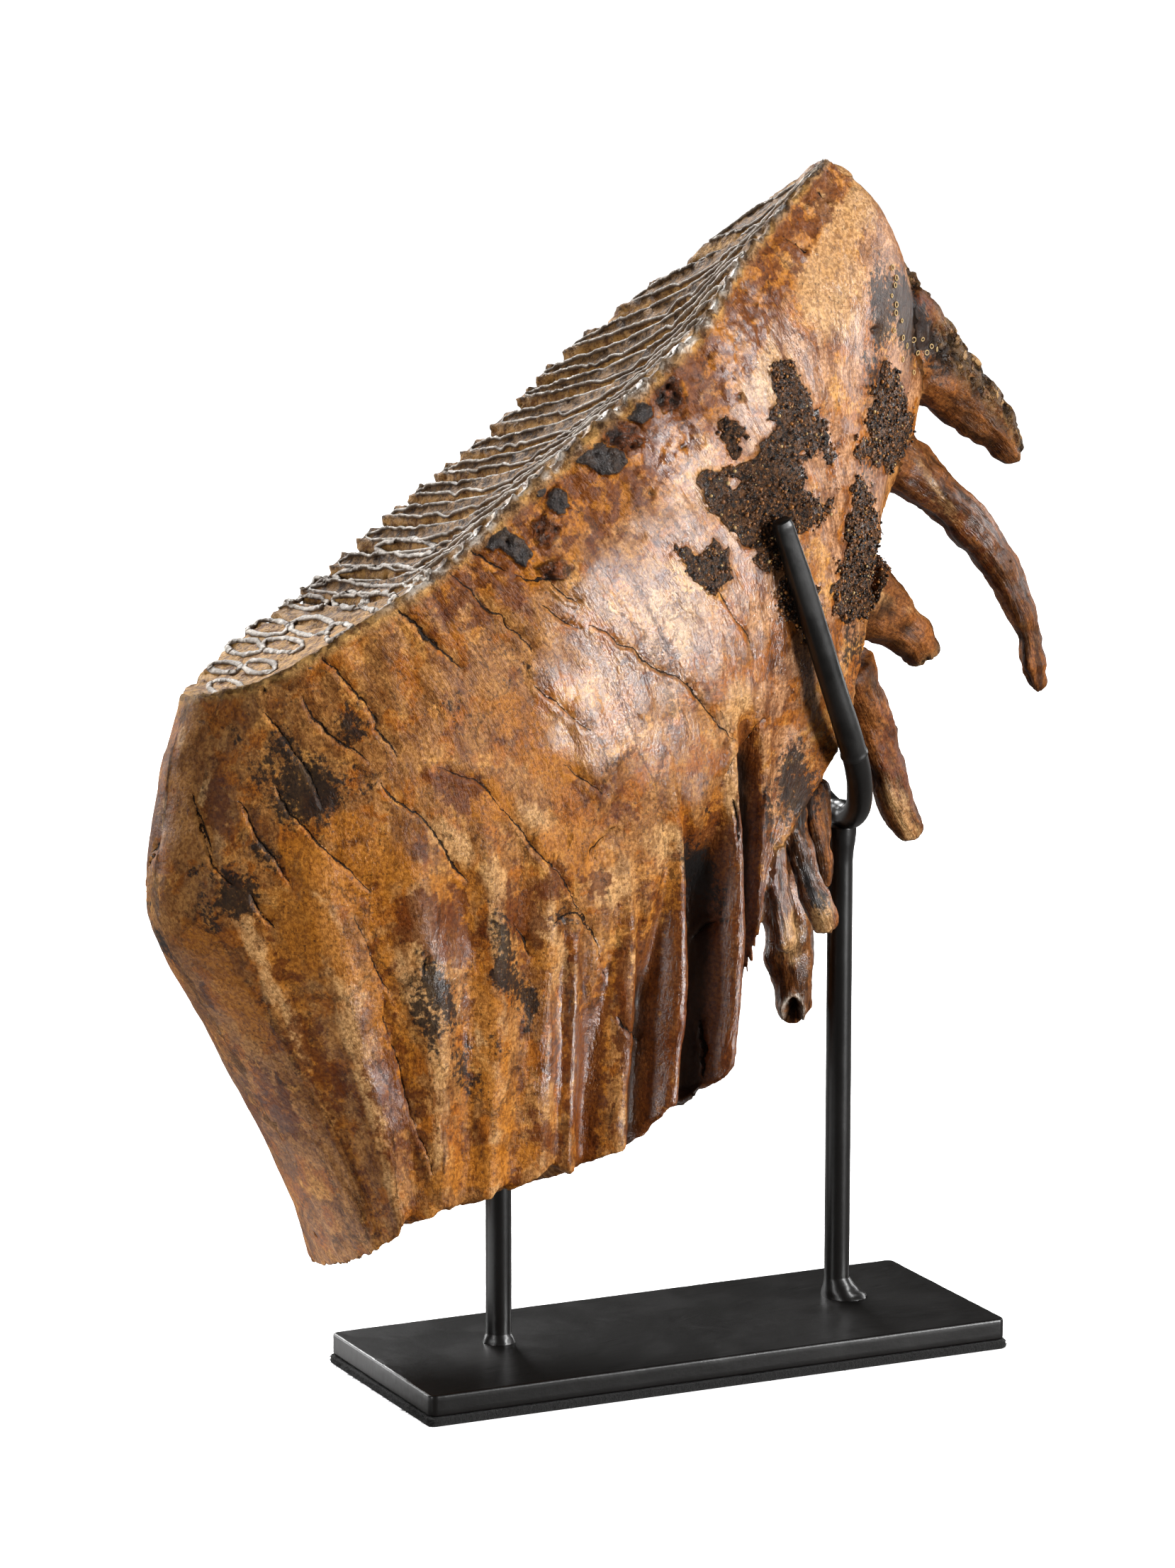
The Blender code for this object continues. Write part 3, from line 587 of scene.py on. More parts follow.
GLOSS_ZONES = (
    (1010, 850, 130, 90, 60, 1.2), (900, 900, 110, 90, 50, 1.1), (840, 1010, 90, 70, 40, 0.9),
    (1100, 560, 150, 80, 70, 0.9), (1180, 420, 120, 60, 80, 0.7), (980, 660, 90, 60, 40, 0.9),
    (950, 1060, 90, 60, 40, 0.6), (1000, 1400, 180, 90, 90, 1.0), (820, 1450, 160, 60, 90, 0.8),
    (480, 1450, 160, 50, 62, 0.5), (1350, 700, 200, 60, 55, 0.4), (1290, 480, 120, 60, 50, 0.3),
    (1100, 1250, 120, 60, 85, 0.8), (640, 1400, 120, 30, 75, 0.6),
)
# Sandy crust: outlines of its patches and of the bare islands in them.
CRUST_PATCHES = (
    ((1088, 512), (1118, 508), (1136, 552), (1160, 588), (1172, 639), (1180, 680), (1172, 715), (1152, 741),
     (1126, 751), (1110, 790), (1086, 833), (1070, 802), (1045, 761), (1019, 741), (989, 700), (980, 669),
     (1012, 664), (1040, 655), (1060, 634), (1078, 598), (1096, 560)),
    ((1019, 588), (1040, 596), (1056, 620), (1044, 648), (1020, 636), (1010, 610)),
    ((953, 772), (985, 780), (1004, 764), (1026, 771), (1034, 812), (999, 840), (973, 802)),
    ((1244, 505), (1269, 528), (1287, 593), (1276, 645), (1249, 665), (1229, 645), (1221, 598), (1234, 552)),
    ((1206, 610), (1223, 614), (1226, 640), (1214, 652), (1204, 634)),
    ((1208, 664), (1228, 690), (1240, 736), (1262, 787), (1244, 830), (1226, 873), (1190, 880), (1177, 863),
     (1180, 800), (1188, 761), (1198, 710)),
    ((1090, 836), (1120, 800), (1150, 830), (1172, 900), (1160, 930), (1130, 900), (1108, 876)),
)
CRUST_ISLANDS = (
    ((1132, 649), (1160, 642), (1182, 660), (1180, 700), (1160, 712), (1140, 690)),
    ((1050, 604), (1070, 594), (1090, 600), (1082, 626), (1062, 640), (1048, 630)),
    ((1030, 676), (1046, 672), (1052, 690), (1036, 696)),
)
# Broken plate ends under the near rim: outlines of the dark chunks and of the red-brown clots.
CHUNKS = (
    ((930, 492), (945, 488), (958, 497), (955, 512), (938, 518), (928, 508)),
    ((864, 582), (877, 563), (892, 548), (900, 563), (917, 574), (921, 587), (905, 594), (884, 590),
     (870, 593)),
    ((803, 637), (818, 622), (839, 624), (855, 631), (877, 637), (883, 652), (873, 666), (851, 670),
     (833, 655), (814, 652)),
    ((775, 700), (785, 690), (797, 696), (803, 714), (790, 725), (777, 716)),
    ((678, 751), (689, 736), (707, 734), (718, 751), (737, 762), (748, 781), (741, 799), (724, 788),
     (707, 773), (693, 775), (682, 768)),
    ((746, 684), (758, 678), (770, 684), (766, 698), (750, 700)),
    ((584, 818), (596, 806), (611, 810), (606, 826), (590, 828)),
    ((420, 930), (432, 922), (444, 926), (442, 938), (428, 942)),
    ((477, 896), (488, 888), (500, 892), (497, 905), (484, 908)),
    ((272, 976), (284, 968), (296, 972), (292, 982), (276, 983)),
)
CLOTS = (
    ((838, 600), (856, 588), (880, 596), (902, 606), (906, 624), (890, 636), (868, 628), (846, 622)),
    ((922, 540), (938, 528), (958, 536), (965, 556), (956, 576), (938, 582), (926, 566)),
    ((964, 452), (978, 440), (996, 446), (1002, 464), (990, 480), (972, 482)),
    ((753, 738), (768, 727), (784, 736), (788, 756), (774, 770), (758, 762)),
    ((760, 800), (790, 790), (812, 800), (800, 816), (774, 818)),
)
DOTS = ((1262, 392), (1266, 404), (1261, 416), (1268, 428), (1263, 441), (1270, 452), (1264, 466),
        (1272, 478), (1281, 489), (1290, 481), (1302, 476), (1315, 488), (1297, 498), (1287, 521),
        (1309, 500), (1276, 503), (1258, 380), (1322, 494))
PITS = ((917, 696, 5), (1233, 463, 5), (1047, 560, 4), (965, 630, 4), (842, 640, 4), (905, 760, 3))
HOLLOW_MOUTH = (1119, 1428, 12.0, 22.0)
VIEW_SHIFT_FAR = (47.0, -38.0)   # the far side wears the near side's marks, moved by this
STEPS_TO_MM = 4.6                # steps of the view's frame to a millimetre of the tooth
CRACK_MAX = 6.0                  # crack distances are kept within this many widths


def view_axes():
    """Right, up and back directions of the fixed viewpoint."""
    back = np.array((np.sin(VIEW_TURN) * np.cos(VIEW_TILT), -np.cos(VIEW_TURN) * np.cos(VIEW_TILT),
                     np.sin(VIEW_TILT)))
    right = np.array((np.cos(VIEW_TURN), np.sin(VIEW_TURN), 0.0))
    up = np.cross(back, right)
    turned_right = np.cos(VIEW_ROLL) * right + np.sin(VIEW_ROLL) * up
    turned_up = np.cos(VIEW_ROLL) * up - np.sin(VIEW_ROLL) * right
    return turned_right, turned_up, back


def seen_at(points):
    """Where points appear in the view's frame: focal length times offset over distance."""
    right, up, back = view_axes()
    offset = points - VIEW_AT
    scale = VIEW_LENS / VIEW_SENSOR * max(VIEW_SIZE) / -(offset @ back)
    return np.stack([VIEW_SIZE[0] / 2 + scale * (offset @ right),
                     VIEW_SIZE[1] / 2 - scale * (offset @ up)], axis=-1)


def spots(places, table):
    """Strongest of some soft ellipses: strength times (1.5 - distance in half lengths), cut at 0."""
    total = np.zeros(len(places))
    for u, v, long, wide, turn, strength in table:
        angle = np.radians(turn)
        du, dv = places[:, 0] - u, places[:, 1] - v
        a = (du * np.cos(angle) + dv * np.sin(angle)) / long
        b = (dv * np.cos(angle) - du * np.sin(angle)) / wide
        total = np.maximum(total, strength * np.clip(1.5 - np.hypot(a, b), 0.0, 1.0))
    return total


def to_line(places, line, closed=False):
    """(distance, sign, share along) from each place to the nearest stretch of a broken line."""
    corners = np.array(line + (line[0],) if closed else line, float)
    start, run = corners[:-1], np.diff(corners, axis=0)
    best = np.full(len(places), 1e9)
    sign, share = np.zeros(len(places)), np.zeros(len(places))
    for k, (a, d) in enumerate(zip(start, run)):
        w = places - a
        t = np.clip((w @ d) / (d @ d), 0.0, 1.0)
        gap = w - t[:, None] * d
        distance = np.hypot(gap[:, 0], gap[:, 1])
        closer = distance < best
        best = np.where(closer, distance, best)
        sign = np.where(closer, np.sign(d[0] * w[:, 1] - d[1] * w[:, 0]), sign)
        share = np.where(closer, (k + t) / len(run), share)
    return best, sign, share


def inside_outline(places, outline):
    """Signed distance to a closed outline, positive inside, by the even-odd rule."""
    distance, _, _ = to_line(places, outline, closed=True)
    corners = np.array(outline, float)
    crossings = np.zeros(len(places), int)
    for a, b in zip(corners, np.roll(corners, -1, axis=0)):
        spans = (a[1] > places[:, 1]) != (b[1] > places[:, 1])
        slope = (b[0] - a[0]) / (b[1] - a[1]) if b[1] != a[1] else 0.0
        crossings += spans & (places[:, 0] < a[0] + slope * (places[:, 1] - a[1]))
    return np.where(crossings % 2 == 1, distance, -distance)


def deepest(places, outlines):
    """Signed distance of each place inside the outline that it lies deepest in."""
    return np.max([inside_outline(places, outline) for outline in outlines], axis=0)


def raise_mark(marks, name, values):
    """Keep the stronger of a mark and some further values at each vertex."""
    marks[name] = np.maximum(marks[name], values)


def mark_skin(points, normals, lamella, root):
    """Every mark on the skin as a value for each vertex: stains, gloss, crust and cracks, with painted shade
    in the fold troughs and slots and painted sheen on the ridges and the near rim strip.
    """
    place, depth, across = lamella.T
    toward = VIEW_AT - points
    toward /= np.linalg.norm(toward, axis=1, keepdims=True)
    facing = smooth((normals * toward).sum(axis=1), -0.15, 0.1)
    half = half_width(place, depth) * end_rounding(place, depth)[:, None]
    far = (across > 0.15) & (root < 0.5)
    twin = np.where(far[:, None], points - 2 * across[:, None] * half, points)
    places = seen_at(twin) + np.where(far[:, None], VIEW_SHIFT_FAR, (0.0, 0.0))
    wobble = np.stack([noise(points, 9.0, 71, 3), noise(points, 9.0, 72, 3)], -1)
    soft = places + 16.0 * wobble
    fret = np.stack([noise(points, 2.2, 73, 2), noise(points, 2.2, 74, 2)], -1)
    sharp = places + 5.0 * wobble + 2.5 * fret
    seen = np.where(far, 1.0, facing)
    top = smooth(depth, 0.03, 0.01) * (1 - smooth(root, 0.2, 0.6))
    side = (1 - top) * np.maximum(seen, 0.6)
    marks = {name: spots(soft, table) * side for name, table in
             (("dark", DARK_STAINS_AND_SHADE), ("rust_and_shade", RUST_STAINS), ("amber", AMBER_STAINS), ("cream_and_sheen", CREAM_STAINS))}
    marks["gloss"], marks["top"] = spots(soft, GLOSS_ZONES) * (1 - top), top
    fold = folds(plate_phase(place, depth, across), depth) * (1 - smooth(root, 0.1, 0.4)) * end_fade(place)
    uneven = 0.75 + 0.6 * noise(points, 14.0, 76, 2)
    # painted sheen and shade on the folds: ridges are laid with paler cream, troughs with darker rust, deeper
    # troughs darker
    ridge = smooth(fold, 0.2, 1.5) * uneven
    trough = smooth(fold, 0.0, -1.4) * uneven
    raise_mark(marks, "cream_and_sheen", 0.75 * ridge * smooth(place, 0.47, 0.40))
    raise_mark(marks, "amber", 0.8 * trough)
    raise_mark(marks, "rust_and_shade", 0.55 * trough + 0.6 * smooth(fold, -1.8, -3.5))
    mahogany = smooth(depth + 0.05 * noise(points, 12.0, 86), 0.55, 0.72) * bell(place - 0.52, 0.12)
    raise_mark(marks, "rust_and_shade", 1.3 * mahogany)
    raise_mark(marks, "gloss", 1.1 * mahogany)
    # painted shade: the deepest fold troughs are coloured near black through this mark
    marks["crevice_shade"] = smooth(fold, -4.4, -7.4) * side
    band = smooth(depth, 0.150, 0.10) * smooth(place, 0.24, 0.34) * (across < 0) * side
    raise_mark(marks, "amber", band * (0.75 + 0.7 * noise(points, 7.0, 77, 2)))
    raise_mark(marks, "rust_and_shade", band * (0.62 + 0.9 * noise(points, 4.0, 78, 3)))
    frayed = sharp + 5.0 * fret
    crust = np.minimum(deepest(frayed, CRUST_PATCHES), -deepest(frayed, CRUST_ISLANDS))
    crust = crust + 9.0 * noise(points, 3.0, 79, 3) - 6.0 * smooth(noise(points, 8.0, 84, 2), 0.15, 0.5)
    marks["crust"] = smooth(crust, -3.0, 4.0) * side * seen
    marks["rosy"] = smooth(place + 0.05 * wobble[:, 0], 0.46, 0.74) * smooth(depth, 0.08, 0.17)
    marks["rosy"] *= (1 - smooth(depth, 0.75, 0.95)) * (1 - smooth(root, 0.2, 0.7))
    for name, outlines in (("plate_end", CHUNKS), ("clot", CLOTS)):
        marks[name] = smooth(deepest(places + 3.0 * fret, outlines) + 2.0, -2.0, 2.0) * side * seen
    # A pale strip along the near rim: pale enamel, and in part a painted highlight of the lit rim.
    low = depth + 0.006 * noise(points, 3.0, 44, 3)
    strip = smooth(-across, 0.88, 0.96) * smooth(low, 0.013, 0.008) * smooth(place, 0.20, 0.34)
    marks["strip"] = strip * smooth(place, 0.93, 0.86) * smooth(noise(points, 3.6, 87, 2), -0.30, 0.05)
    near, signed, groove = np.zeros(len(points)), np.full(len(points), 9.0), np.zeros(len(points))
    for line, width in CRACKS:
        close = np.abs(sharp - np.mean(line, axis=0)).max(axis=1) < np.ptp(line, axis=0).max() / 2 + 30
        distance, sign, share = to_line(sharp[close], line)
        distance = distance / STEPS_TO_MM
        taper = np.clip(np.sin(np.pi * share), 0.0, 1.0) ** 0.4
        open_width = width * (0.35 + 0.65 * taper) * (0.75 + 0.5 * noise(points[close], 5.0, 75))
        wins = distance < np.abs(signed[close])
        signed[close] = np.where(wins, sign * distance / np.maximum(open_width, 0.2), signed[close])
        near[close] = np.maximum(near[close], smooth(distance, 3.2, 2.0) * (taper > 0.05))
        groove[close] = np.maximum(groove[close], bell(distance, 0.5 * open_width + 0.2) * taper ** 0.5)
    marks["crack"] = np.clip(signed, -CRACK_MAX, CRACK_MAX)
    marks["crack_near"] = near * side * seen
    marks["groove"] = groove * side * seen
    pit = np.zeros(len(points))
    for u, v, radius in PITS:
        pit = np.maximum(pit, bell(np.hypot(sharp[:, 0] - u, sharp[:, 1] - v), radius))
    marks["pit"] = pit * side * seen
    return marks


def relief(points, lamella, grain, extra, marks):
    """Height of the fine relief over the whole skin, in millimetres along the normal."""
    place, depth, across = lamella.T
    root = extra[:, 0]
    on_root = smooth(root, 0.3, 0.7)
    top = marks["top"]
    side = (1 - top) * (1 - on_root)
    phase = plate_phase(place, depth, across)
    off = np.abs(from_plate(phase))
    height = 0.9 * noise(points, 26.0, 21, 2) * side
    height += 0.28 * noise(grain, 3.2, 22, 3) * (1 - top)
    height += 0.22 * noise(points, 4.5, 23, 3)
    flakes = smooth(noise(grain * (1, 1.6, 1), 11.0, 24, 3), 0.02, 0.10)
    height += 0.38 * flakes * side * smooth(depth, 0.04, 0.12) * smooth(place, 0.75, 0.45)
    # plate ends show as lumps under the near rim
    crumbs = noise(points, 2.1, 41, 2)
    height += marks["plate_end"] * (1.1 + 1.0 * crumbs) + marks["clot"] * (1.5 * crumbs - 0.3)
    height += 0.7 * smooth(depth, 0.16, 0.10) * smooth(place, 0.28, 0.40) * (across < 0) * crumbs * side
    # cement on the grinding surface: granular, pitted and fissured
    marks["cement"] = np.maximum(smooth(off, PLATE_HALF + 0.02, PLATE_HALF + 0.1), 1 - worn(place))
    cement = top * marks["cement"]
    height += cement * (0.45 * noise(points, 2.4, 27, 3) - 0.7 * smooth(noise(points, 4.0, 28, 2), 0.2, 0.5))
    height += top * (1 - cement) * 0.3 * noise(points, 1.9, 42, 2)
    fissure = bell(off - 0.5, 0.07) * smooth(noise(points, 16.0, 29), -0.2, 0.3) * smooth(across, -0.4, 0.5)
    fissure = fissure * worn(place)
    height -= 2.2 * fissure * top * end_fade(place)
    marks["fissure"] = fissure * top
    height += 0.2 * top * (1 - cement) * noise(grain, 1.8, 30, 2)
    # roots: long grooves, and a broken spongy face on the upper side of the front root
    height += on_root * (1.0 * noise(grain, 5.0, 31, 2) + 0.5 * noise(grain, 2.2, 32, 2)
                         + 1.3 * noise(points, 8.0, 37, 2) + 0.4 * noise(points, 2.8, 38, 2))
    spongy = on_root * extra[:, 2]
    height -= spongy * (1.6 * smooth(noise(points, 3.4, 33, 2), 0.0, 0.35) + 0.6)
    marks["spongy"] = spongy
    grit = noise(points, 1.7, 34, 2)
    height += marks["crust"] * (0.7 + 0.9 * grit)
    wrinkled = marks["rosy"] * side * smooth(depth, 0.10, 0.16)
    height += 0.75 * wrinkled * noise(grain * (1, 0.6, 1), 4.2, 43, 3)
    height -= 1.2 * marks["groove"] + 1.8 * marks["pit"]
    lipped = marks["crack_near"] * np.sign(marks["crack"]) * smooth(np.abs(marks["crack"]), 0.0, 1.0)
    height += 0.32 * lipped * side
    # torn edge of the base
    edge = smooth(depth, 0.93, 1.0) * (1 - on_root)
    height += edge * 0.5 * noise(points, 3.0, 35, 2)
    return height


def root_tubes():
    """All roots as one set of tubes: points, tooth coordinates, grain, root marks and quads.

    The radius follows each root's own, times sqrt(1 - u^2) over the last stretch to either end."""
    parts = [[], [], [], [], []]
    count = 0
    for number, (name, (path, radii, flat)) in enumerate(ROOTS.items()):
        share = np.linspace(0.0, 1.0, ROOT_RINGS)
        centre, ring, along, angle = sweep(path, share, ROOT_SIDES, flat)
        radius = np.interp(share, np.linspace(0.0, 1.0, len(radii)), radii)
        length = np.linalg.norm(np.diff(centre, axis=0), axis=1).sum()
        tip = np.sqrt(np.clip(1 - smooth(share, 0.93, 1.0) ** 2 - smooth(share, 0.05, 0.0) ** 2, 0.0, 1.0))
        middle = centre + along * (radii[-1] * 0.4 * smooth(share, 0.8, 1.0))[:, None]
        wall = middle[:, None] + ring * (radius * tip + 0.01)[:, None, None]
        turn = np.broadcast_to(angle[None, :], wall.shape[:2])
        run = np.broadcast_to((share * length)[:, None], wall.shape[:2])
        grain = np.stack([np.cos(turn) * 6, np.sin(turn) * 6, run / 6], -1) + 50.0 * number
        spongy = np.zeros(wall.shape[:2])
        if name in ("front_root", "front_shoulder"):
            spongy = smooth(np.cos(turn), 0.0, 0.4) * smooth(run, 0.1 * length, 0.3 * length)
        if name in ("stub_root", "spongy_stub"):
            spongy = smooth(run, 0.9 * length, 0.97 * length)
        extra = np.stack([np.ones_like(run), run / length, spongy], -1)
        lamella = np.tile(ROOT_COORDINATES, (wall[..., 0].size, 1))
        for part, values in zip(parts, (wall, lamella, grain, extra)):
            part.append(values.reshape(-1, 3))
        parts[4].append(grid_quads(ROOT_RINGS, ROOT_SIDES) + count)
        count += wall[..., 0].size
    return [np.concatenate(part) for part in parts]


def make_skin():
    """The whole tooth as one closed skin: remeshed from its grids, marked, relieved, thinned."""
    crown, coordinates = crown_grid()
    place, depth, across = np.moveaxis(coordinates, -1, 0)
    grain = np.stack([place * PLATES * 9.0, depth * 240 / 6, across * 40 + 200 * (depth <= 0)], -1)
    roots, root_lamella, root_grain, root_extra, root_quads = root_tubes()
    rows, columns = place.shape
    points = np.concatenate([crown.reshape(-1, 3), roots])
    quads = np.concatenate([grid_quads(rows, columns), root_quads + rows * columns])
    flat = np.zeros((rows * columns, 3))
    attributes = {"lamella": np.concatenate([coordinates.reshape(-1, 3), root_lamella]),
                  "grain": np.concatenate([grain.reshape(-1, 3), root_grain]),
                  "extra": np.concatenate([flat, root_extra])}
    source = new_mesh("skin_source", points, quads, attributes)
    skin = bpy.data.objects.new("tooth_skin", source.data.copy())
    bpy.context.scene.collection.objects.link(skin)
    step = skin.modifiers.new("grid", "REMESH")
    step.mode = "VOXEL"
    step.voxel_size = SKIN_VOXEL * MM
    settle(skin)
    mesh = carry_coordinates(skin, source, list(attributes))
    bpy.data.objects.remove(source)
    round_joints(skin)
    mesh = skin.data
    points, normals = vertex_array(mesh), vertex_array(mesh, True)
    lamella, grain, extra = (get(mesh, name, 3) for name in ("lamella", "grain", "extra"))
    marks = mark_skin(points, normals, lamella, extra[:, 0])
    height = relief(points, lamella, grain, extra, marks)
    cut_hollow(points, normals, height, marks)
    # painted shade: every place the relief sinks, the root's open canal most of all, is coloured near black
    # through this mark
    marks["hollow"] = smooth(-height, 0.5, 1.6)
    points = points + normals * height[:, None]
    mesh.vertices.foreach_set("co", (points * MM).astype(np.float32).ravel())
    for name, values in marks.items():
        put(mesh, name, values)
    put(mesh, "grain", grain * MM)
    put(mesh, "root", extra[:, 0])
    mesh.attributes.remove(mesh.attributes["extra"])
    thin = skin.modifiers.new("thin", "DECIMATE")
    thin.ratio = SKIN_FACES / (2 * len(mesh.polygons))
    thin.use_collapse_triangulate = True
    mesh = settle(skin)
    drop_folded(mesh)
    mesh.shade_smooth()
    skin.name = "tooth_skin"
    return skin


def drop_folded(mesh):
    """Delete pairs of triangles on the same three corners, which thinning can leave behind."""
    corners = np.empty(len(mesh.loops), np.int32)
    mesh.loops.foreach_get("vertex_index", corners)
    _, pair, count = np.unique(np.sort(corners.reshape(-1, 3), axis=1), axis=0,
                               return_inverse=True, return_counts=True)
    folded = np.flatnonzero(count[pair.ravel()] > 1)
    build = bmesh.new()
    build.from_mesh(mesh)
    build.faces.ensure_lookup_table()
    bmesh.ops.delete(build, geom=[build.faces[int(k)] for k in folded], context="FACES")
    build.to_mesh(mesh)
    build.free()


def cut_hollow(points, normals, height, marks):
    """Open the hollow root's broken side into its canal, with a thin pale rim round the mouth."""
    u, v, wide, tall = HOLLOW_MOUTH
    toward = VIEW_AT - points
    toward /= np.linalg.norm(toward, axis=1, keepdims=True)
    seen = seen_at(points)
    reach = np.hypot((seen[:, 0] - u) / wide, (seen[:, 1] - v) / tall)
    reach = reach + 0.12 * noise(points, 2.5, 38, 2)
    open_side = ((normals * toward).sum(axis=1) > 0.2) & (points[:, 2] < 115) & (reach < 2.0)
    sunk = smooth(reach, 1.0, 0.72) * open_side
    height -= 5.5 * sunk
    rim = bell(reach - 1.12, 0.14) * open_side
    height += 0.5 * rim
    raise_mark(marks, "strip", rim)
    marks["dark"] = np.where(open_side, 0.0, marks["dark"])


def round_joints(skin):
    """Smooth the skin where roots leave the crown, so that they flow into it."""
    tree, flow = geometry_tree("soften")
    root = add(tree, "GeometryNodeInputNamedAttribute", {"Name": "extra"}, data_type="FLOAT_VECTOR")
    spread = add(tree, "GeometryNodeBlurAttribute", {"Iterations": SOFTEN_STEPS}, data_type="FLOAT_VECTOR")
    tree.links.new(root.outputs["Attribute"], spread.inputs["Value"])
    flow = store_vector(tree, flow, "extra", spread.outputs["Value"])
    mesh = run_tree(skin, tree, flow)
    share = get(mesh, "extra", 3)[:, 0]
    group = skin.vertex_groups.new(name="joint")
    strength = 4 * share * (1 - share)
    for level in (0.25, 0.6):
        picked = np.flatnonzero(strength > level).tolist()
        group.add(picked, level, "REPLACE")
    step = skin.modifiers.new("round", "SMOOTH")
    step.vertex_group = "joint"
    step.factor, step.iterations = 0.5, ROUND_STEPS
    settle(skin)
    skin.vertex_groups.clear()


# ---- small pieces on the tooth -------------------------------------------------------------
# Plates hardly worn at the back show as separate rings: middle and half sizes in the view's frame.
RINGS = ((543, 813, 68, 14), (400, 847, 12, 6), (435, 850, 27, 9), (495, 848, 25, 11), (537, 850, 25, 13),
         (378, 886, 29, 11), (440, 884, 29, 13), (481, 896, 20, 15), (345, 914, 25, 10), (399, 911, 28, 10),
         (318, 942, 22, 7), (367, 941, 22, 9), (317, 970, 22, 10), (440, 818, 22, 9), (575, 773, 42, 11))
FIRST_LOOP = 6             # plates from here on are worn to whole loops
LOOP_REACH = 0.95          # share of the half width that a whole plate spans
LOOP_WIDE, LOOP_PROUD, LOOP_DEEP = 0.5, 0.6, 1.0
RING_WIDE = 1.0
LOOP_STEPS, LOOP_SIDES = ((430, 8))
GRAINS = 6500


def on_top(wanted):
    """(place, across) under points of the view: the nearest of a dense grid, smoothed along the run."""
    place, across = np.meshgrid(np.linspace(0.006, 0.5, 420), np.linspace(-0.985, 0.985, 200))
    place, across = place.ravel(), across.ravel()
    seen = seen_at(tooth_surface(place, np.zeros_like(place), across))
    close = (np.abs(seen - wanted.mean(axis=0)) < np.ptp(wanted, axis=0) / 2 + 25).all(axis=1)
    place, across, seen = place[close], across[close], seen[close]
    best = ((wanted[:, None] - seen[None]) ** 2).sum(axis=-1).argmin(axis=1)
    found = np.stack([place[best], across[best]], -1)
    for shift in (1, 2, 4):
        found = (found + np.roll(found, shift, axis=0) + np.roll(found, -shift, axis=0)) / 3
    return found


def enamel_loops():
    """Enamel edges of the worn plates: closed wavy bands standing out of the grinding surface.

    A whole plate's edge runs round a superellipse in (phase, across), a ring round an ellipse in
    the view; the section is a half ellipse above a deeper one, set square to the run."""
    angle = np.linspace(0.0, 2 * np.pi, LOOP_STEPS, endpoint=False)
    section = np.linspace(0.0, 2 * np.pi, LOOP_SIDES, endpoint=False)
    run = np.sign(np.cos(angle)) * np.abs(np.cos(angle)) ** 0.42
    rise = np.sign(np.sin(angle)) * np.abs(np.sin(angle)) ** 0.62
    lines = []
    for plate in range(FIRST_LOOP, PLATES):
        across = LOOP_REACH * run
        swell = 1 + 0.25 * bell(run, 0.35)
        wave = 0.085 * noise_1d(across * 9.0 + 60 * (rise > 0), 1.0, 80 + plate, 3)
        phase = plate + 0.5 + PLATE_HALF * swell * rise + wave
        lag = SWEEP * smooth(-across, 0.45, 1.0)
        lines.append((np.clip(phase / PLATES + lag, 0.004, 0.985), across, LOOP_WIDE))
    for number, (u, v, long, tall) in enumerate(RINGS):
        circle = np.stack([np.cos(angle), np.sin(angle), angle * 0], -1)
        fray = 1 + 0.12 * noise(circle * 3, 1.2, 120 + number, 2)
        wanted = np.stack([u + long * np.cos(angle) * fray, v + tall * np.sin(angle) * fray], -1)
        place, across = on_top(wanted).T
        lines.append((np.clip(place, 0.004, 0.985), np.clip(across, -0.97, 0.99), RING_WIDE))
    points, pale, stride = [], [], []
    for place, across, thick in lines:
        line = tooth_surface(place, np.zeros_like(place), across)
        line += (0.25 * noise(line, 5.0, 81, 2) + 0.15)[:, None] * GRIND_UP
        along = np.roll(line, -1, axis=0) - np.roll(line, 1, axis=0)
        step = np.linalg.norm(along, axis=1, keepdims=True) + 1e-9
        along /= step
        beside = np.cross(along, GRIND_UP)
        beside /= np.linalg.norm(beside, axis=1, keepdims=True) + 1e-9
        wide = thick * (1 + 0.45 * noise(line, 2.4, 82, 2))[:, None, None]
        up = np.sin(section)[None, :, None] > 0
        tall = np.where(up, LOOP_PROUD, LOOP_DEEP)
        chips = 1 - 0.7 * smooth(noise(line, 2.6, 83, 2), 0.2, 0.5) + 0.3 * noise(line, 1.1, 85)
        above = np.sin(section)[None, :, None] * tall * np.where(up, chips[:, None, None], 1.0)
        rings = line[:, None] + wide * np.cos(section)[None, :, None] * beside[:, None] + above * GRIND_UP
        points.append(rings)
        # paler towards the near rim, partly a painted highlight there, and a little paler on the rings and
        # plates at the back
        shine = smooth(-across, 0.35, 0.85) * worn(place) + 0.35 * (1 - worn(place))
        pale.append(np.repeat(shine, LOOP_SIDES))
        stride.append(np.repeat(np.cumsum(step[:, 0]) / 2, LOOP_SIDES))
    index = np.arange(len(lines) * LOOP_STEPS * LOOP_SIDES).reshape(len(lines), LOOP_STEPS, LOOP_SIDES)
    after, ahead = np.roll(index, -1, axis=2), np.roll(index, -1, axis=1)
    quads = np.stack([index, ahead, np.roll(after, -1, axis=1), after], -1).reshape(-1, 4)
    # 1 along the top of each band, which the enamel material paints lighter as a painted highlight, leaving
    # the flanks darker as painted shade
    crest_light = np.tile(np.clip(np.sin(section), 0.0, 1.0), len(lines) * LOOP_STEPS)
    marks = {"pale": np.concatenate(pale), "stride": np.concatenate(stride) * MM, "crest_light": crest_light}
    item = new_mesh("enamel_edges", np.concatenate(points), quads, marks)
    item.data.shade_smooth()
    return item


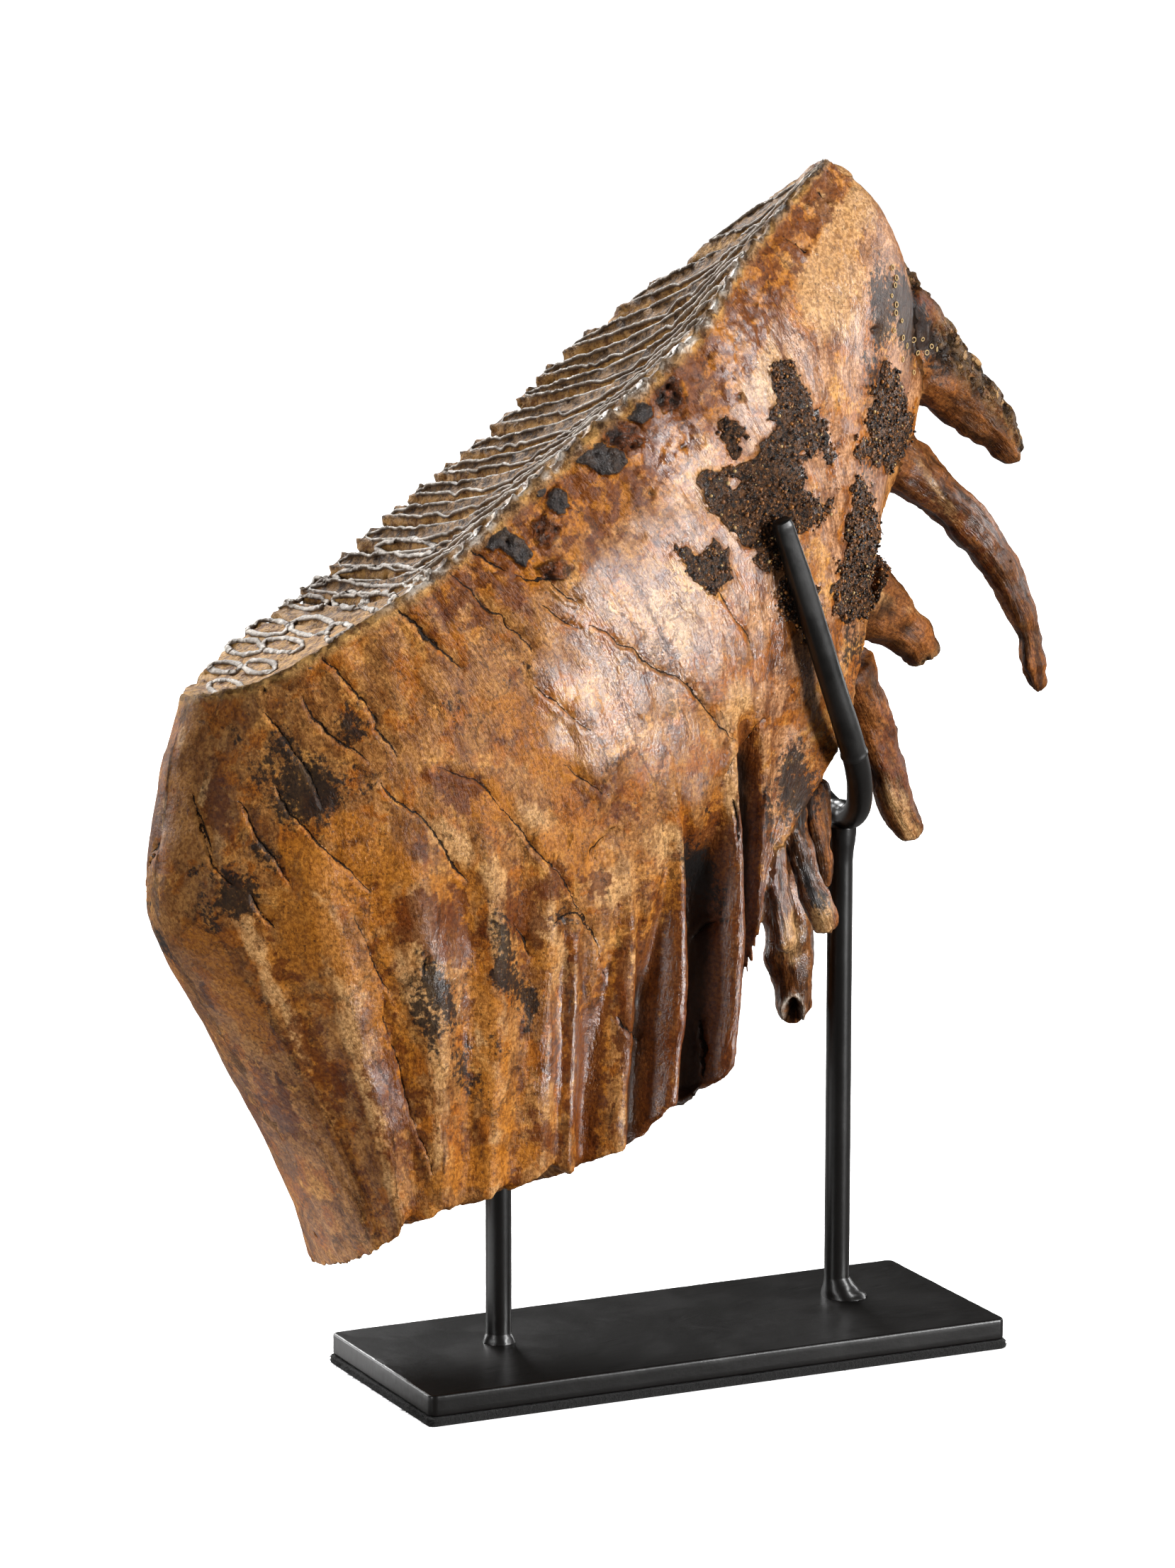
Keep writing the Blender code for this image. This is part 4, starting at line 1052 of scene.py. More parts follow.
def crust_grains(skin):
    """Grains of sand caked on the crust patches: small lumpy balls half sunk in the skin.

    A ball is two rings of six points and a point at either end, each pushed out or in at random."""
    mesh = skin.data
    points, normals, crust = vertex_array(mesh), vertex_array(mesh, True), get(mesh, "crust", 1)
    ready = np.flatnonzero(crust > 0.3)
    draw = steady_draws(GRAINS, 500, 6)
    at = ready[(draw[0] * len(ready)).astype(int) % len(ready)]
    jitter = np.stack(draw[1:4], -1) * 2 - 1
    centre = points[at] + 0.7 * jitter + 0.15 * normals[at]
    size = 0.24 + 0.42 * draw[4] ** 3
    turn = np.arange(6) * np.pi / 3
    tilt = np.array((-1.55, -0.6, 0.35, 1.55))
    ball = np.stack([np.cos(tilt)[:, None] * np.cos(turn), np.cos(tilt)[:, None] * np.sin(turn),
                     np.broadcast_to(np.sin(tilt)[:, None], (4, 6))], -1)
    lump = 1 + 0.3 * hash_unit(np.arange(GRAINS * 24).reshape(GRAINS, 4, 6)[..., None]
                               * np.array((1, 0, 0)), 510)[..., None]
    rings = centre[:, None, None] + size[:, None, None, None] * ball * lump
    ball = np.concatenate([rings[:, 0, :1], rings[:, 1], rings[:, 2], rings[:, 3, :1]], axis=1)
    item = new_mesh("crust_grains", ball, ball_faces(GRAINS, 6), {"tint": np.repeat(draw[5], 14)})
    item.data.shade_smooth()
    return item


def ring_marks(skin):
    """Small pale rings left by sea life under DOTS: thin tori lying flat on the skin.

    A torus is a circle in the skin's plane, with a small circle round its own outward direction."""
    points, normals = vertex_array(skin.data), vertex_array(skin.data, True)
    toward = VIEW_AT - points
    away = np.linalg.norm(toward, axis=1)
    seen = seen_at(points)
    shown = (normals * toward).sum(axis=1) > 0.2 * away
    turn, tube = np.meshgrid(np.linspace(0.0, 2 * np.pi, 14, endpoint=False),
                             np.linspace(0.0, 2 * np.pi, 6, endpoint=False), indexing="ij")
    turn, tube = turn[..., None], tube[..., None]
    rings = []
    for (u, v), share in zip(DOTS, steady_draws(len(DOTS), 520, 1)[0]):
        off = np.hypot(seen[:, 0] - u, seen[:, 1] - v)
        pick = np.where(shown, off + 0.3 * away, 1e9).argmin()
        up = normals[pick] / np.linalg.norm(normals[pick])
        right = np.cross(up, (0.0, 0.0, 1.0))
        right /= np.linalg.norm(right)
        outward = np.cos(turn) * right + np.sin(turn) * np.cross(up, right)
        line = points[pick] + 0.12 * up + (0.55 + 0.35 * share) * outward
        rings.append(line + 0.20 * (np.cos(tube) * outward + np.sin(tube) * up))
    index = np.arange(len(DOTS) * 14 * 6).reshape(len(DOTS), 14, 6)
    ahead, after = np.roll(index, -1, axis=1), np.roll(index, -1, axis=2)
    quads = np.stack([index, ahead, np.roll(ahead, -1, axis=2), after], -1).reshape(-1, 4)
    item = new_mesh("ring_marks", np.stack(rings), quads, {"tint": np.full(len(DOTS) * 14 * 6, 0.97)})
    item.data.shade_smooth()
    return item


# ---- stand: sizes in millimetres, as in the part -------------------------------------------
PLATE_HALVES, PLATE_CORNER, PLATE_EASE = (98.5, 38.2), 2.5, 0.8
PLATE_BOTTOM, PLATE_TOP = 2.8, 9.6
FELT_HALVES, FELT_TOP = (99.1, 38.8), 2.6
# Layers of a slab from the bottom up: inset from its outline, and height.
PLATE_LAYERS = ((PLATE_EASE, PLATE_BOTTOM), (0.25 * PLATE_EASE, PLATE_BOTTOM + 0.25 * PLATE_EASE),
                (0.0, PLATE_BOTTOM + PLATE_EASE), (0.0, 5.0), (0.0, 6.2), (0.0, 7.6),
                (0.0, PLATE_TOP - PLATE_EASE), (0.08 * PLATE_EASE, PLATE_TOP - 0.6 * PLATE_EASE),
                (0.3 * PLATE_EASE, PLATE_TOP - 0.3 * PLATE_EASE),
                (0.6 * PLATE_EASE, PLATE_TOP - 0.08 * PLATE_EASE), (PLATE_EASE, PLATE_TOP))
FELT_LAYERS = ((0.3, 0.0), (0.0, 0.3), (-0.1, 0.8), (0.0, 1.3), (0.1, 1.8), (0.0, 2.2), (0.4, FELT_TOP))
PLATE_ROUGH, FELT_ROUGH = 0.06, 0.25
ROD_RADIUS, ROD_SIDES = 4.0, 32
FRONT_POST, FRONT_POST_TOP = (-55.6, 6.5), 90.0
REAR_POST, HEAD_TOP = (62.4, 7.2), 161.2
FRONT_WELD, FRONT_WELD_TALL = 1.1, 3.0
REAR_WELD, REAR_WELD_TALL, WELD_LEAN = 3.2, 6.6, 0.9
ARM = ((62.8, 7.2, 165.6), (62.4, 0.0, 166.2), (60.2, -9.0, 171.8), (55.9, -17.0, 182.3),
       (49.7, -23.0, 195.0), (41.8, -27.5, 211.8), (27.7, -34.0, 244.2), (17.8, -38.0, 267.2))
FAR_SPREAD, SPREAD_FROM, SPREAD_TO = 7.2, 170.0, 225.0
SLEEVE_FROM = 0.52
SLEEVE_RADII = (4.1, 4.05, 3.85, 3.25, 3.0)
TIP_FLAT = 0.72
FIBRES = 1600
POLE_MERGE = 2e-6          # metres: end rings closer than this are one point


def closed_ends(rings):
    """Add a nearly pointed ring at the middle of the first and of the last ring."""
    first = rings[0].mean(axis=0) + 0.0001 * (rings[0] - rings[0].mean(axis=0))
    last = rings[-1].mean(axis=0) + 0.0001 * (rings[-1] - rings[-1].mean(axis=0))
    return np.concatenate([first[None], rings, last[None]])


def ring_piece(name, rings, attributes=()):
    """Closed mesh from closed rings of points, each end ring merged into one point."""
    item = new_mesh(name, rings, grid_quads(*rings.shape[:2]), attributes)
    build = bmesh.new()
    build.from_mesh(item.data)
    bmesh.ops.remove_doubles(build, verts=build.verts[:], dist=POLE_MERGE)
    build.to_mesh(item.data)
    build.free()
    item.data.shade_smooth()
    return item


def rectangle(halves, corner, step):
    """Points round a rectangle with round corners, and the direction outwards at each."""
    turn = np.linspace(0.0, np.pi / 2, 14)
    points, outs = [], []
    for k, (sx, sy) in enumerate(((1, 1), (-1, 1), (-1, -1), (1, -1))):
        middle = np.array((sx * (halves[0] - corner), sy * (halves[1] - corner)))
        out = np.stack([np.cos(turn + k * np.pi / 2), np.sin(turn + k * np.pi / 2)], -1)
        count = int(2 * (halves[k % 2 == 0] - corner) / step)
        run = np.linspace(0.0, 1.0, count + 1)[1:-1, None]
        side = (0.0, -2 * sy * (halves[1] - corner)) if k % 2 else (-2 * sx * (halves[0] - corner), 0.0)
        points += [middle + corner * out, middle + corner * out[-1] + run * np.array(side)]
        outs += [out, np.broadcast_to(out[-1], (len(run), 2))]
    return np.concatenate(points), np.concatenate(outs)


def slab(name, halves, corner, layers, rough, seed):
    """A plate: rounded rectangles at each layer's inset and height, its faces filled inwards.

    The surface waves by a fine noise of that size and is dented in a few small spots."""
    edge, out = rectangle(halves, corner, 1.3)
    rings = []
    inward = 1.0 - np.linspace(0.0, 1.0, 46)[1:-1] ** 1.5
    bottom_inset, bottom = layers[0]
    top_inset, top = layers[-1]
    for share in inward[::-1]:
        rings.append(np.column_stack([share * (edge - bottom_inset * out), np.full(len(edge), bottom)]))
    for inset, height in layers:
        rings.append(np.column_stack([edge - inset * out, np.full(len(edge), height)]))
    for share in inward:
        rings.append(np.column_stack([share * (edge - top_inset * out), np.full(len(edge), top)]))
    rings = np.array(rings)
    outward = np.concatenate([out, np.zeros((len(out), 1))], axis=1)
    height = rings[..., 2]
    up = smooth(height, top - 0.35, top)[..., None]
    lift = rough * noise(rings, 7.0, seed, 3) + 0.5 * rough * noise(rings, 1.9, seed + 1, 2)
    dent = -1.2 * rough * smooth(noise(rings, 5.0, seed + 2, 2), 0.34, 0.5)
    push = (lift + dent)[..., None]
    flat = smooth(height, bottom + 0.1, bottom + 0.5)[..., None]
    rings = rings + push * (outward * flat * (1 - up) + up * np.array((0, 0, 1.0)))
    return ring_piece(name, closed_ends(rings))


def felt_fibres():
    """Short curved hairs round the felt's edge: four-sided tubes along bent lines."""
    edge, out = rectangle(FELT_HALVES, PLATE_CORNER, 0.8)
    draw = steady_draws(FIBRES, 400, 7)
    pick = (draw[0] * len(edge)).astype(int) % len(edge)
    side = np.stack([-out[pick, 1], out[pick, 0]], -1)
    foot = np.column_stack([edge[pick] - 0.3 * out[pick], 0.15 + 2.3 * draw[1]])
    length = 0.5 + 1.1 * draw[2] ** 2
    way = np.column_stack([out[pick] + (draw[3] - 0.5)[:, None] * 2.2 * side, draw[4] - 0.6])
    bend = np.column_stack([(draw[5] - 0.5)[:, None] * 2.0 * side, (draw[6] - 0.7) * 0.9])
    share = np.linspace(0.0, 1.0, 5)[None, :, None]
    line = foot[:, None] + length[:, None, None] * (way[:, None] * share + bend[:, None] * share**2)
    line[..., 2] = np.maximum(line[..., 2], 0.12)
    along = way / np.linalg.norm(way, axis=1, keepdims=True)
    beside = np.cross((0.0, 0.0, 1.0), along)
    beside /= np.linalg.norm(beside, axis=1, keepdims=True)
    turn = (np.arange(4) * np.pi / 2)[None, :, None]
    round_line = np.cos(turn) * beside[:, None] + np.sin(turn) * np.cross(along, beside)[:, None]
    radius = 0.085 * (1.05 - share[..., None])
    rings = line[:, :, None] + radius * round_line[:, None]
    return new_mesh("felt_fibres", rings, capped_quads(FIBRES, 5, 4))


def post(name, centre, heights, radius):
    """A round post: a circle of each height's radius, dented slightly all over."""
    angle = np.arange(radius.shape[1]) * 2 * np.pi / radius.shape[1]
    rings = np.stack([centre[0] + radius * np.cos(angle), centre[1] + radius * np.sin(angle),
                      np.broadcast_to(heights[:, None], radius.shape)], -1)
    rings[..., :2] += (0.05 * noise(rings, 6.0, 51, 2) + 0.02 * noise(rings, 1.6, 52))[..., None] \
        * np.stack([np.cos(angle), np.sin(angle)], -1)
    return ring_piece(name, closed_ends(rings))


def on_rod(rise):
    """Points round a plain rod at some heights, at which weld noise is read."""
    angle = np.broadcast_to(np.arange(ROD_SIDES) * 2 * np.pi / ROD_SIDES, (len(rise), ROD_SIDES))
    return np.stack([ROD_RADIUS * np.cos(angle), ROD_RADIUS * np.sin(angle),
                     np.broadcast_to(rise[:, None], angle.shape)], -1)


def make_posts():
    """Both posts with the welds at their feet, the rear one's head flared under the cradle."""
    angle = np.arange(ROD_SIDES) * 2 * np.pi / ROD_SIDES
    foot = PLATE_TOP - 0.2
    low = np.linspace(0.0, 8.0, 34)
    shaft = np.linspace(9.0, 70.0, 30)
    high = np.array((FRONT_POST_TOP - 0.6, FRONT_POST_TOP - 0.2, FRONT_POST_TOP)) - foot
    rise = np.concatenate([low, shaft, high])
    spots_at = on_rod(rise)
    weld = np.clip(1 - rise / FRONT_WELD_TALL, 0.0, 1.0)[:, None] ** 0.8
    radius = ROD_RADIUS + weld * (FRONT_WELD + 0.7 * noise(spots_at, 2.6, 53, 2))
    radius[-3:] -= np.array((0.0, 0.15, 0.5))[:, None]
    front = post("front_post_look", FRONT_POST, foot + rise, radius)
    top = HEAD_TOP - foot
    bead = np.linspace(top - 14.0, top + 1.6, 46)
    rise = np.concatenate([low, shaft * 1.9, bead])
    spots_at = on_rod(rise)
    share = rise / REAR_WELD_TALL
    weld = np.interp(share, (0.0, 0.3, 0.7, 1.0), (1.0, 0.75, 0.25, 0.0))[:, None]
    lean = 1 + WELD_LEAN * np.cos(angle)[None]
    radius = ROD_RADIUS + weld * lean * (REAR_WELD + 1.1 * noise(spots_at, 3.2, 54, 2))
    flare = smooth(rise, top - 13.0, top - 1.0)[:, None] ** 1.5
    radius += 0.9 * flare * (1 + 0.35 * noise(spots_at, 4.5, 55, 2))
    radius -= 1.6 * smooth(rise, top + 0.4, top + 1.8)[:, None]
    rear = post("rear_post_look", REAR_POST, foot + rise, radius)
    return front, rear


def arm_paths():
    """Both arms' paths from the bend up; the far one is mirrored and stands further out."""
    near = np.array(ARM)
    far = near * (1, -1, 1) + (0, 2 * REAR_POST[1], 0)
    far[:, 1] += FAR_SPREAD * smooth(near[:, 2], SPREAD_FROM, SPREAD_TO)
    return near, far


def rod(name, path, share, radius, flat, square=0.0):
    """A bar along a path between two shares of its length, uneven, and square where it is told to be."""
    centre, ring, _, angle = sweep(path, share, ROD_SIDES, flat)
    boxy = (np.cos(angle) ** 6 + np.sin(angle) ** 6) ** (-1 / 6) - 1
    ring = ring * (1 + np.broadcast_to(square, share.shape)[:, None] * boxy)[..., None]
    rings = centre[:, None] + ring * radius[:, None, None]
    rings += (0.06 * noise(rings, 7.0, 56, 2))[..., None] * ring
    return ring_piece(name, closed_ends(rings))


def make_cradle():
    """The bent rod, thicker where it is welded on, and the sleeve over each arm."""
    near, far = arm_paths()
    whole = np.concatenate([far[::-1], near[1:]])
    share = np.linspace(0.22, 0.78, 220)
    off = np.abs(share - 0.5) * 2
    radius = ROD_RADIUS + 0.35 * bell(off, 0.05)
    bar = rod("cradle_rod_look", whole, share, radius, np.ones(len(share)))
    sleeves = []
    for name, path in (("near_sleeve_look", near), ("far_sleeve_look", far)):
        share = np.concatenate([np.linspace(SLEEVE_FROM - 0.004, SLEEVE_FROM + 0.03, 26),
                                np.linspace(SLEEVE_FROM + 0.035, 0.988, 110), np.linspace(0.989, 1.0, 12)])
        taper = np.interp(share, (SLEEVE_FROM, 0.62, 0.78, 0.93, 1.0), SLEEVE_RADII)
        radius = taper + 0.32 * bell(share - SLEEVE_FROM - 0.006, 0.008)
        radius = radius - 0.5 * smooth(share, SLEEVE_FROM, SLEEVE_FROM - 0.004)
        radius = radius * (1 - 0.12 * smooth(share, 0.985, 1.0) ** 2)
        flat = np.interp(share, (SLEEVE_FROM, 0.70, 0.95, 1.0), (1.0, 1.0, TIP_FLAT + 0.12, TIP_FLAT + 0.12))
        sleeves.append(rod(name, path, share, radius, flat, 0.7 * smooth(share, 0.72, 0.90)))
    return bar, *sleeves


# ---- node helpers -------------------------------------------------------------------------
def math(tree, operation, a, b=0.0):
    """One arithmetic step on values."""
    return add(tree, "ShaderNodeMath", {0: a, 1: b}, operation=operation).outputs[0]


def times(tree, a, b):
    """A product of two values."""
    return math(tree, "MULTIPLY", a, b)


def plus(tree, a, b):
    """A sum of two values."""
    return math(tree, "ADD", a, b)


def minus(tree, a, b):
    """A difference of two values."""
    return math(tree, "SUBTRACT", a, b)


def most(tree, a, b):
    """The greater of two values."""
    return math(tree, "MAXIMUM", a, b)


def blend(tree, share, a, b, way="MIX"):
    """Mix two colours by a share."""
    a = (*a, 1.0) if isinstance(a, tuple) and len(a) == 3 else a
    b = (*b, 1.0) if isinstance(b, tuple) and len(b) == 3 else b
    return add(tree, "ShaderNodeMix", {0: share, 6: a, 7: b}, data_type="RGBA", blend_type=way).outputs[2]


def span(tree, value, low, high, start=0.0, end=1.0):
    """Smooth step of a value from low to high, put out from start to end."""
    node = add(tree, "ShaderNodeMapRange", {"Value": value, "From Min": low, "From Max": high,
                                            "To Min": start, "To Max": end},
               interpolation_type="SMOOTHSTEP")
    return node.outputs[0]


def ramp(tree, value, low, high, dark, pale):
    """Colour that goes smoothly from dark to pale as a value goes from low to high."""
    return blend(tree, span(tree, value, low, high), dark, pale)


def texture(tree, vector, scale, detail=3.0, rough=0.55, warp=0.0):
    """Fractal noise at a number of cells to the metre."""
    node = add(tree, "ShaderNodeTexNoise", {"Vector": vector, "Scale": scale, "Detail": detail,
                                            "Roughness": rough, "Distortion": warp})
    return node.outputs[0]


def attribute(tree, name, vector=False):
    """A mesh attribute as a value or a vector."""
    node = add(tree, "ShaderNodeAttribute", attribute_name=name)
    return node.outputs["Vector" if vector else "Fac"]


def position(tree):
    """Where a point of the piece lies, in metres."""
    return add(tree, "ShaderNodeTexCoord").outputs["Object"]


def new_group(name, values, outputs):
    """A node group of a vector and some values: (tree, its inputs, its outputs' sockets)."""
    tree = bpy.data.node_groups.new(name, "ShaderNodeTree")
    tree.interface.new_socket("Vector", in_out="INPUT", socket_type="NodeSocketVector")
    for key, start in values.items():
        tree.interface.new_socket(key, in_out="INPUT", socket_type="NodeSocketFloat").default_value = start
    for key in outputs:
        tree.interface.new_socket(key, in_out="OUTPUT", socket_type="NodeSocketFloat")
    return tree, tree.nodes.new("NodeGroupInput").outputs, tree.nodes.new("NodeGroupOutput").inputs


def make_groups():
    """The shared effects: stain edges, mottling, specks and roughness."""
    groups = {}
    tree, given, out = new_group("stain", {"Amount": 0.0, "Scale": 200.0, "Reach": 0.8, "Edge": 0.08},
                                 ("Mask",))
    grain = texture(tree, given["Vector"], given["Scale"], 5.0, 0.62)
    lifted = times(tree, minus(tree, grain, 0.5), given["Reach"])
    level = plus(tree, given["Amount"], lifted)
    low = minus(tree, 0.5, given["Edge"])
    high = plus(tree, 0.5, given["Edge"])
    tree.links.new(span(tree, level, low, high), out["Mask"])
    groups["stain"] = tree

    tree, given, out = new_group("mottle", {"Scale": 60.0, "Detail": 4.0, "Low": 0.4, "High": 0.6},
                                 ("Mask",))
    grain = texture(tree, given["Vector"], given["Scale"], given["Detail"], 0.6, 0.4)
    tree.links.new(span(tree, grain, given["Low"], given["High"]), out["Mask"])
    groups["mottle"] = tree

    tree, given, out = new_group("specks", {"Scale": 900.0, "Cover": 0.3}, ("Mask",))
    cell = add(tree, "ShaderNodeTexVoronoi", {"Vector": given["Vector"], "Scale": given["Scale"],
                                              "Randomness": 1.0})
    keep = math(tree, "LESS_THAN", add(tree, "ShaderNodeSeparateColor",
                                       {0: cell.outputs["Color"]}).outputs[0], given["Cover"])
    dot = span(tree, cell.outputs["Distance"], 0.42, 0.18)
    tree.links.new(times(tree, dot, keep), out["Mask"])
    groups["specks"] = tree

    tree, given, out = new_group("roughened", {"Scale": 900.0, "Depth": 0.0001, "Fine": 0.4},
                                 ("Height", "Mask"))
    broad = texture(tree, given["Vector"], given["Scale"], 4.0, 0.6)
    finer = texture(tree, given["Vector"], times(tree, given["Scale"], 4.3), 2.0, 0.6)
    both = plus(tree, broad, times(tree, finer, given["Fine"]))
    tree.links.new(times(tree, both, given["Depth"]), out["Height"])
    tree.links.new(broad, out["Mask"])
    groups["roughened"] = tree
    return groups


GROUPS = {}


def effect(tree, name, output, inputs=()):
    """Place a shared effect in a material and return one of its outputs."""
    return add(tree, "ShaderNodeGroup", inputs, node_tree=GROUPS[name]).outputs[output]


def stain(tree, vector, amount, scale, reach, edge):
    """Mask of a stain: its amount, frayed by noise of that reach, cut with that edge."""
    return effect(tree, "stain", "Mask", {"Vector": vector, "Amount": amount, "Scale": scale,
                                          "Reach": reach, "Edge": edge})


def mottle(tree, vector, scale, low, high, detail=4.0):
    """Mask of mottling at a number of cells to the metre, cut from low to high."""
    return effect(tree, "mottle", "Mask", {"Vector": vector, "Scale": scale, "Detail": detail,
                                           "Low": low, "High": high})


def roughened(tree, vector, scale, depth, fine):
    """Height of a rough surface: broad noise of that depth in metres, and a share of finer noise."""
    return effect(tree, "roughened", "Height", {"Vector": vector, "Scale": scale, "Depth": depth,
                                                "Fine": fine})


def cover(tree, colour, mask, share, over):
    """Lay a colour over another where a mask shows, by at most that share."""
    return blend(tree, times(tree, mask, share), colour, over)


def new_material(name, **constants):
    """A material with one Principled shader; constants set its sockets."""
    material = bpy.data.materials.new(name)
    material.use_nodes = True
    shader = material.node_tree.nodes["Principled BSDF"]
    for key, value in constants.items():
        shader.inputs[key.replace("_", " ")].default_value = value
    return material, material.node_tree, shader


def bump(tree, shader, height, strength=1.0):
    """Turn a height in metres into the shader's normal."""
    node = add(tree, "ShaderNodeBump", {"Height": height, "Distance": 1.0, "Strength": strength})
    tree.links.new(node.outputs[0], shader.inputs["Normal"])
    tree.links.new(node.outputs[0], shader.inputs["Coat Normal"])
    return node.outputs[0]


# ---- fossil colours, linear ----------------------------------------------------------------
FILM_DARK, FILM_PALE = (0.165, 0.058, 0.013), (0.47, 0.222, 0.066)
DEEP_BROWN, AMBER_BROWN, GOLD = (0.105, 0.030, 0.005), (0.34, 0.108, 0.012), (0.56, 0.27, 0.070)
AMBER = (0.42, 0.150, 0.015)
# The rust colour also paints shade in the fold troughs, the cream colour sheen on the ridges.
RUST_AND_SHADE = (0.115, 0.025, 0.0032)
CREAM_AND_SHEEN = (0.63, 0.37, 0.160)
BLUE_BLACK = (0.0085, 0.0078, 0.0075)
UMBER = (0.045, 0.020, 0.008)
CEMENT_DARK, CEMENT = (0.21, 0.085, 0.024), (0.70, 0.385, 0.120)
DENTINE_DARK, DENTINE = (0.055, 0.026, 0.011), (0.40, 0.220, 0.090)
ENAMEL_DARK = (0.028, 0.031, 0.032)
# The crevice colour is painted shade in the deepest fold troughs; the crack colour also paints shade into
# sunk places.
CRACK_AND_SHADE, CREVICE_SHADE = (0.006, 0.003, 0.0015), (0.010, 0.004, 0.0015)
BLUSH_DARK, BLUSH_PALE = (0.17, 0.064, 0.026), (0.60, 0.325, 0.170)
ROOT_DARK, ROOT_PALE = (0.030, 0.008, 0.002), (0.31, 0.108, 0.026)
SHADE_LOW, SHADE_HIGH = (0.62, 0.54, 0.46), (1.17, 1.16, 1.13)     # fine light and dark, as factors
# The chalk colours are pale enamel and in part a painted highlight along the near rim.
DIM_CHALK_AND_HIGHLIGHT, CHALK_AND_HIGHLIGHT = (0.26, 0.160, 0.095), (0.88, 0.78, 0.66)
CLOT_DARK, CLOT = (0.020, 0.006, 0.002), (0.22, 0.055, 0.010)
SPONGY_DARK, SPONGY = (0.13, 0.050, 0.015), (0.52, 0.31, 0.125)
CRUST_DARK, CRUST = (0.004, 0.0018, 0.001), (0.17, 0.070, 0.024)
# Enamel flanks in painted shade and crests in painted highlight.
SHADED_FLANK_DARK, SHADED_FLANK = (0.070, 0.047, 0.032), (0.22, 0.155, 0.105)
LIT_CREST_DARK, LIT_CREST = (0.42, 0.33, 0.24), (0.90, 0.79, 0.66)
ENAMEL_STAIN = (0.10, 0.055, 0.028)
SAND_UMBER, SAND_BROWN = (0.007, 0.0032, 0.0015), (0.21, 0.086, 0.029)
SAND_ORANGE, SAND_YELLOW = (0.36, 0.135, 0.022), (0.50, 0.33, 0.13)
GLOSS_LEAN = (-0.10, 0.0, -0.17)     # the glossy film lies in shingles that lean up and forward
GLOSS_FOLLOWS = 0.7                  # share of the bumps that the film follows

# ---- stand colours, linear -----------------------------------------------------------------
FELT_DARK, FELT_TUFT = (0.002, 0.002, 0.002), (0.010, 0.009, 0.0085)
# Satin finishes: name, index of refraction, patches (scale, low, high), dark and dusty colour,
# their roughnesses, and bumps (scale, depth, share of finer ones).
PAINT_FINISH = ("black_paint", 1.5, (40.0, 0.4, 0.7), ((0.0040, 0.0034, 0.0031), (0.0055, 0.0047, 0.0043)),
                (0.30, 0.34), (380.0, 0.00005, 0.25))
SLEEVE_FINISH = ("black_sleeve", 1.48, (90.0, 0.4, 0.65),
                 ((0.0035, 0.0032, 0.0030), (0.0070, 0.0063, 0.0058)), (0.34, 0.46), (300.0, 0.00006, 0.3))


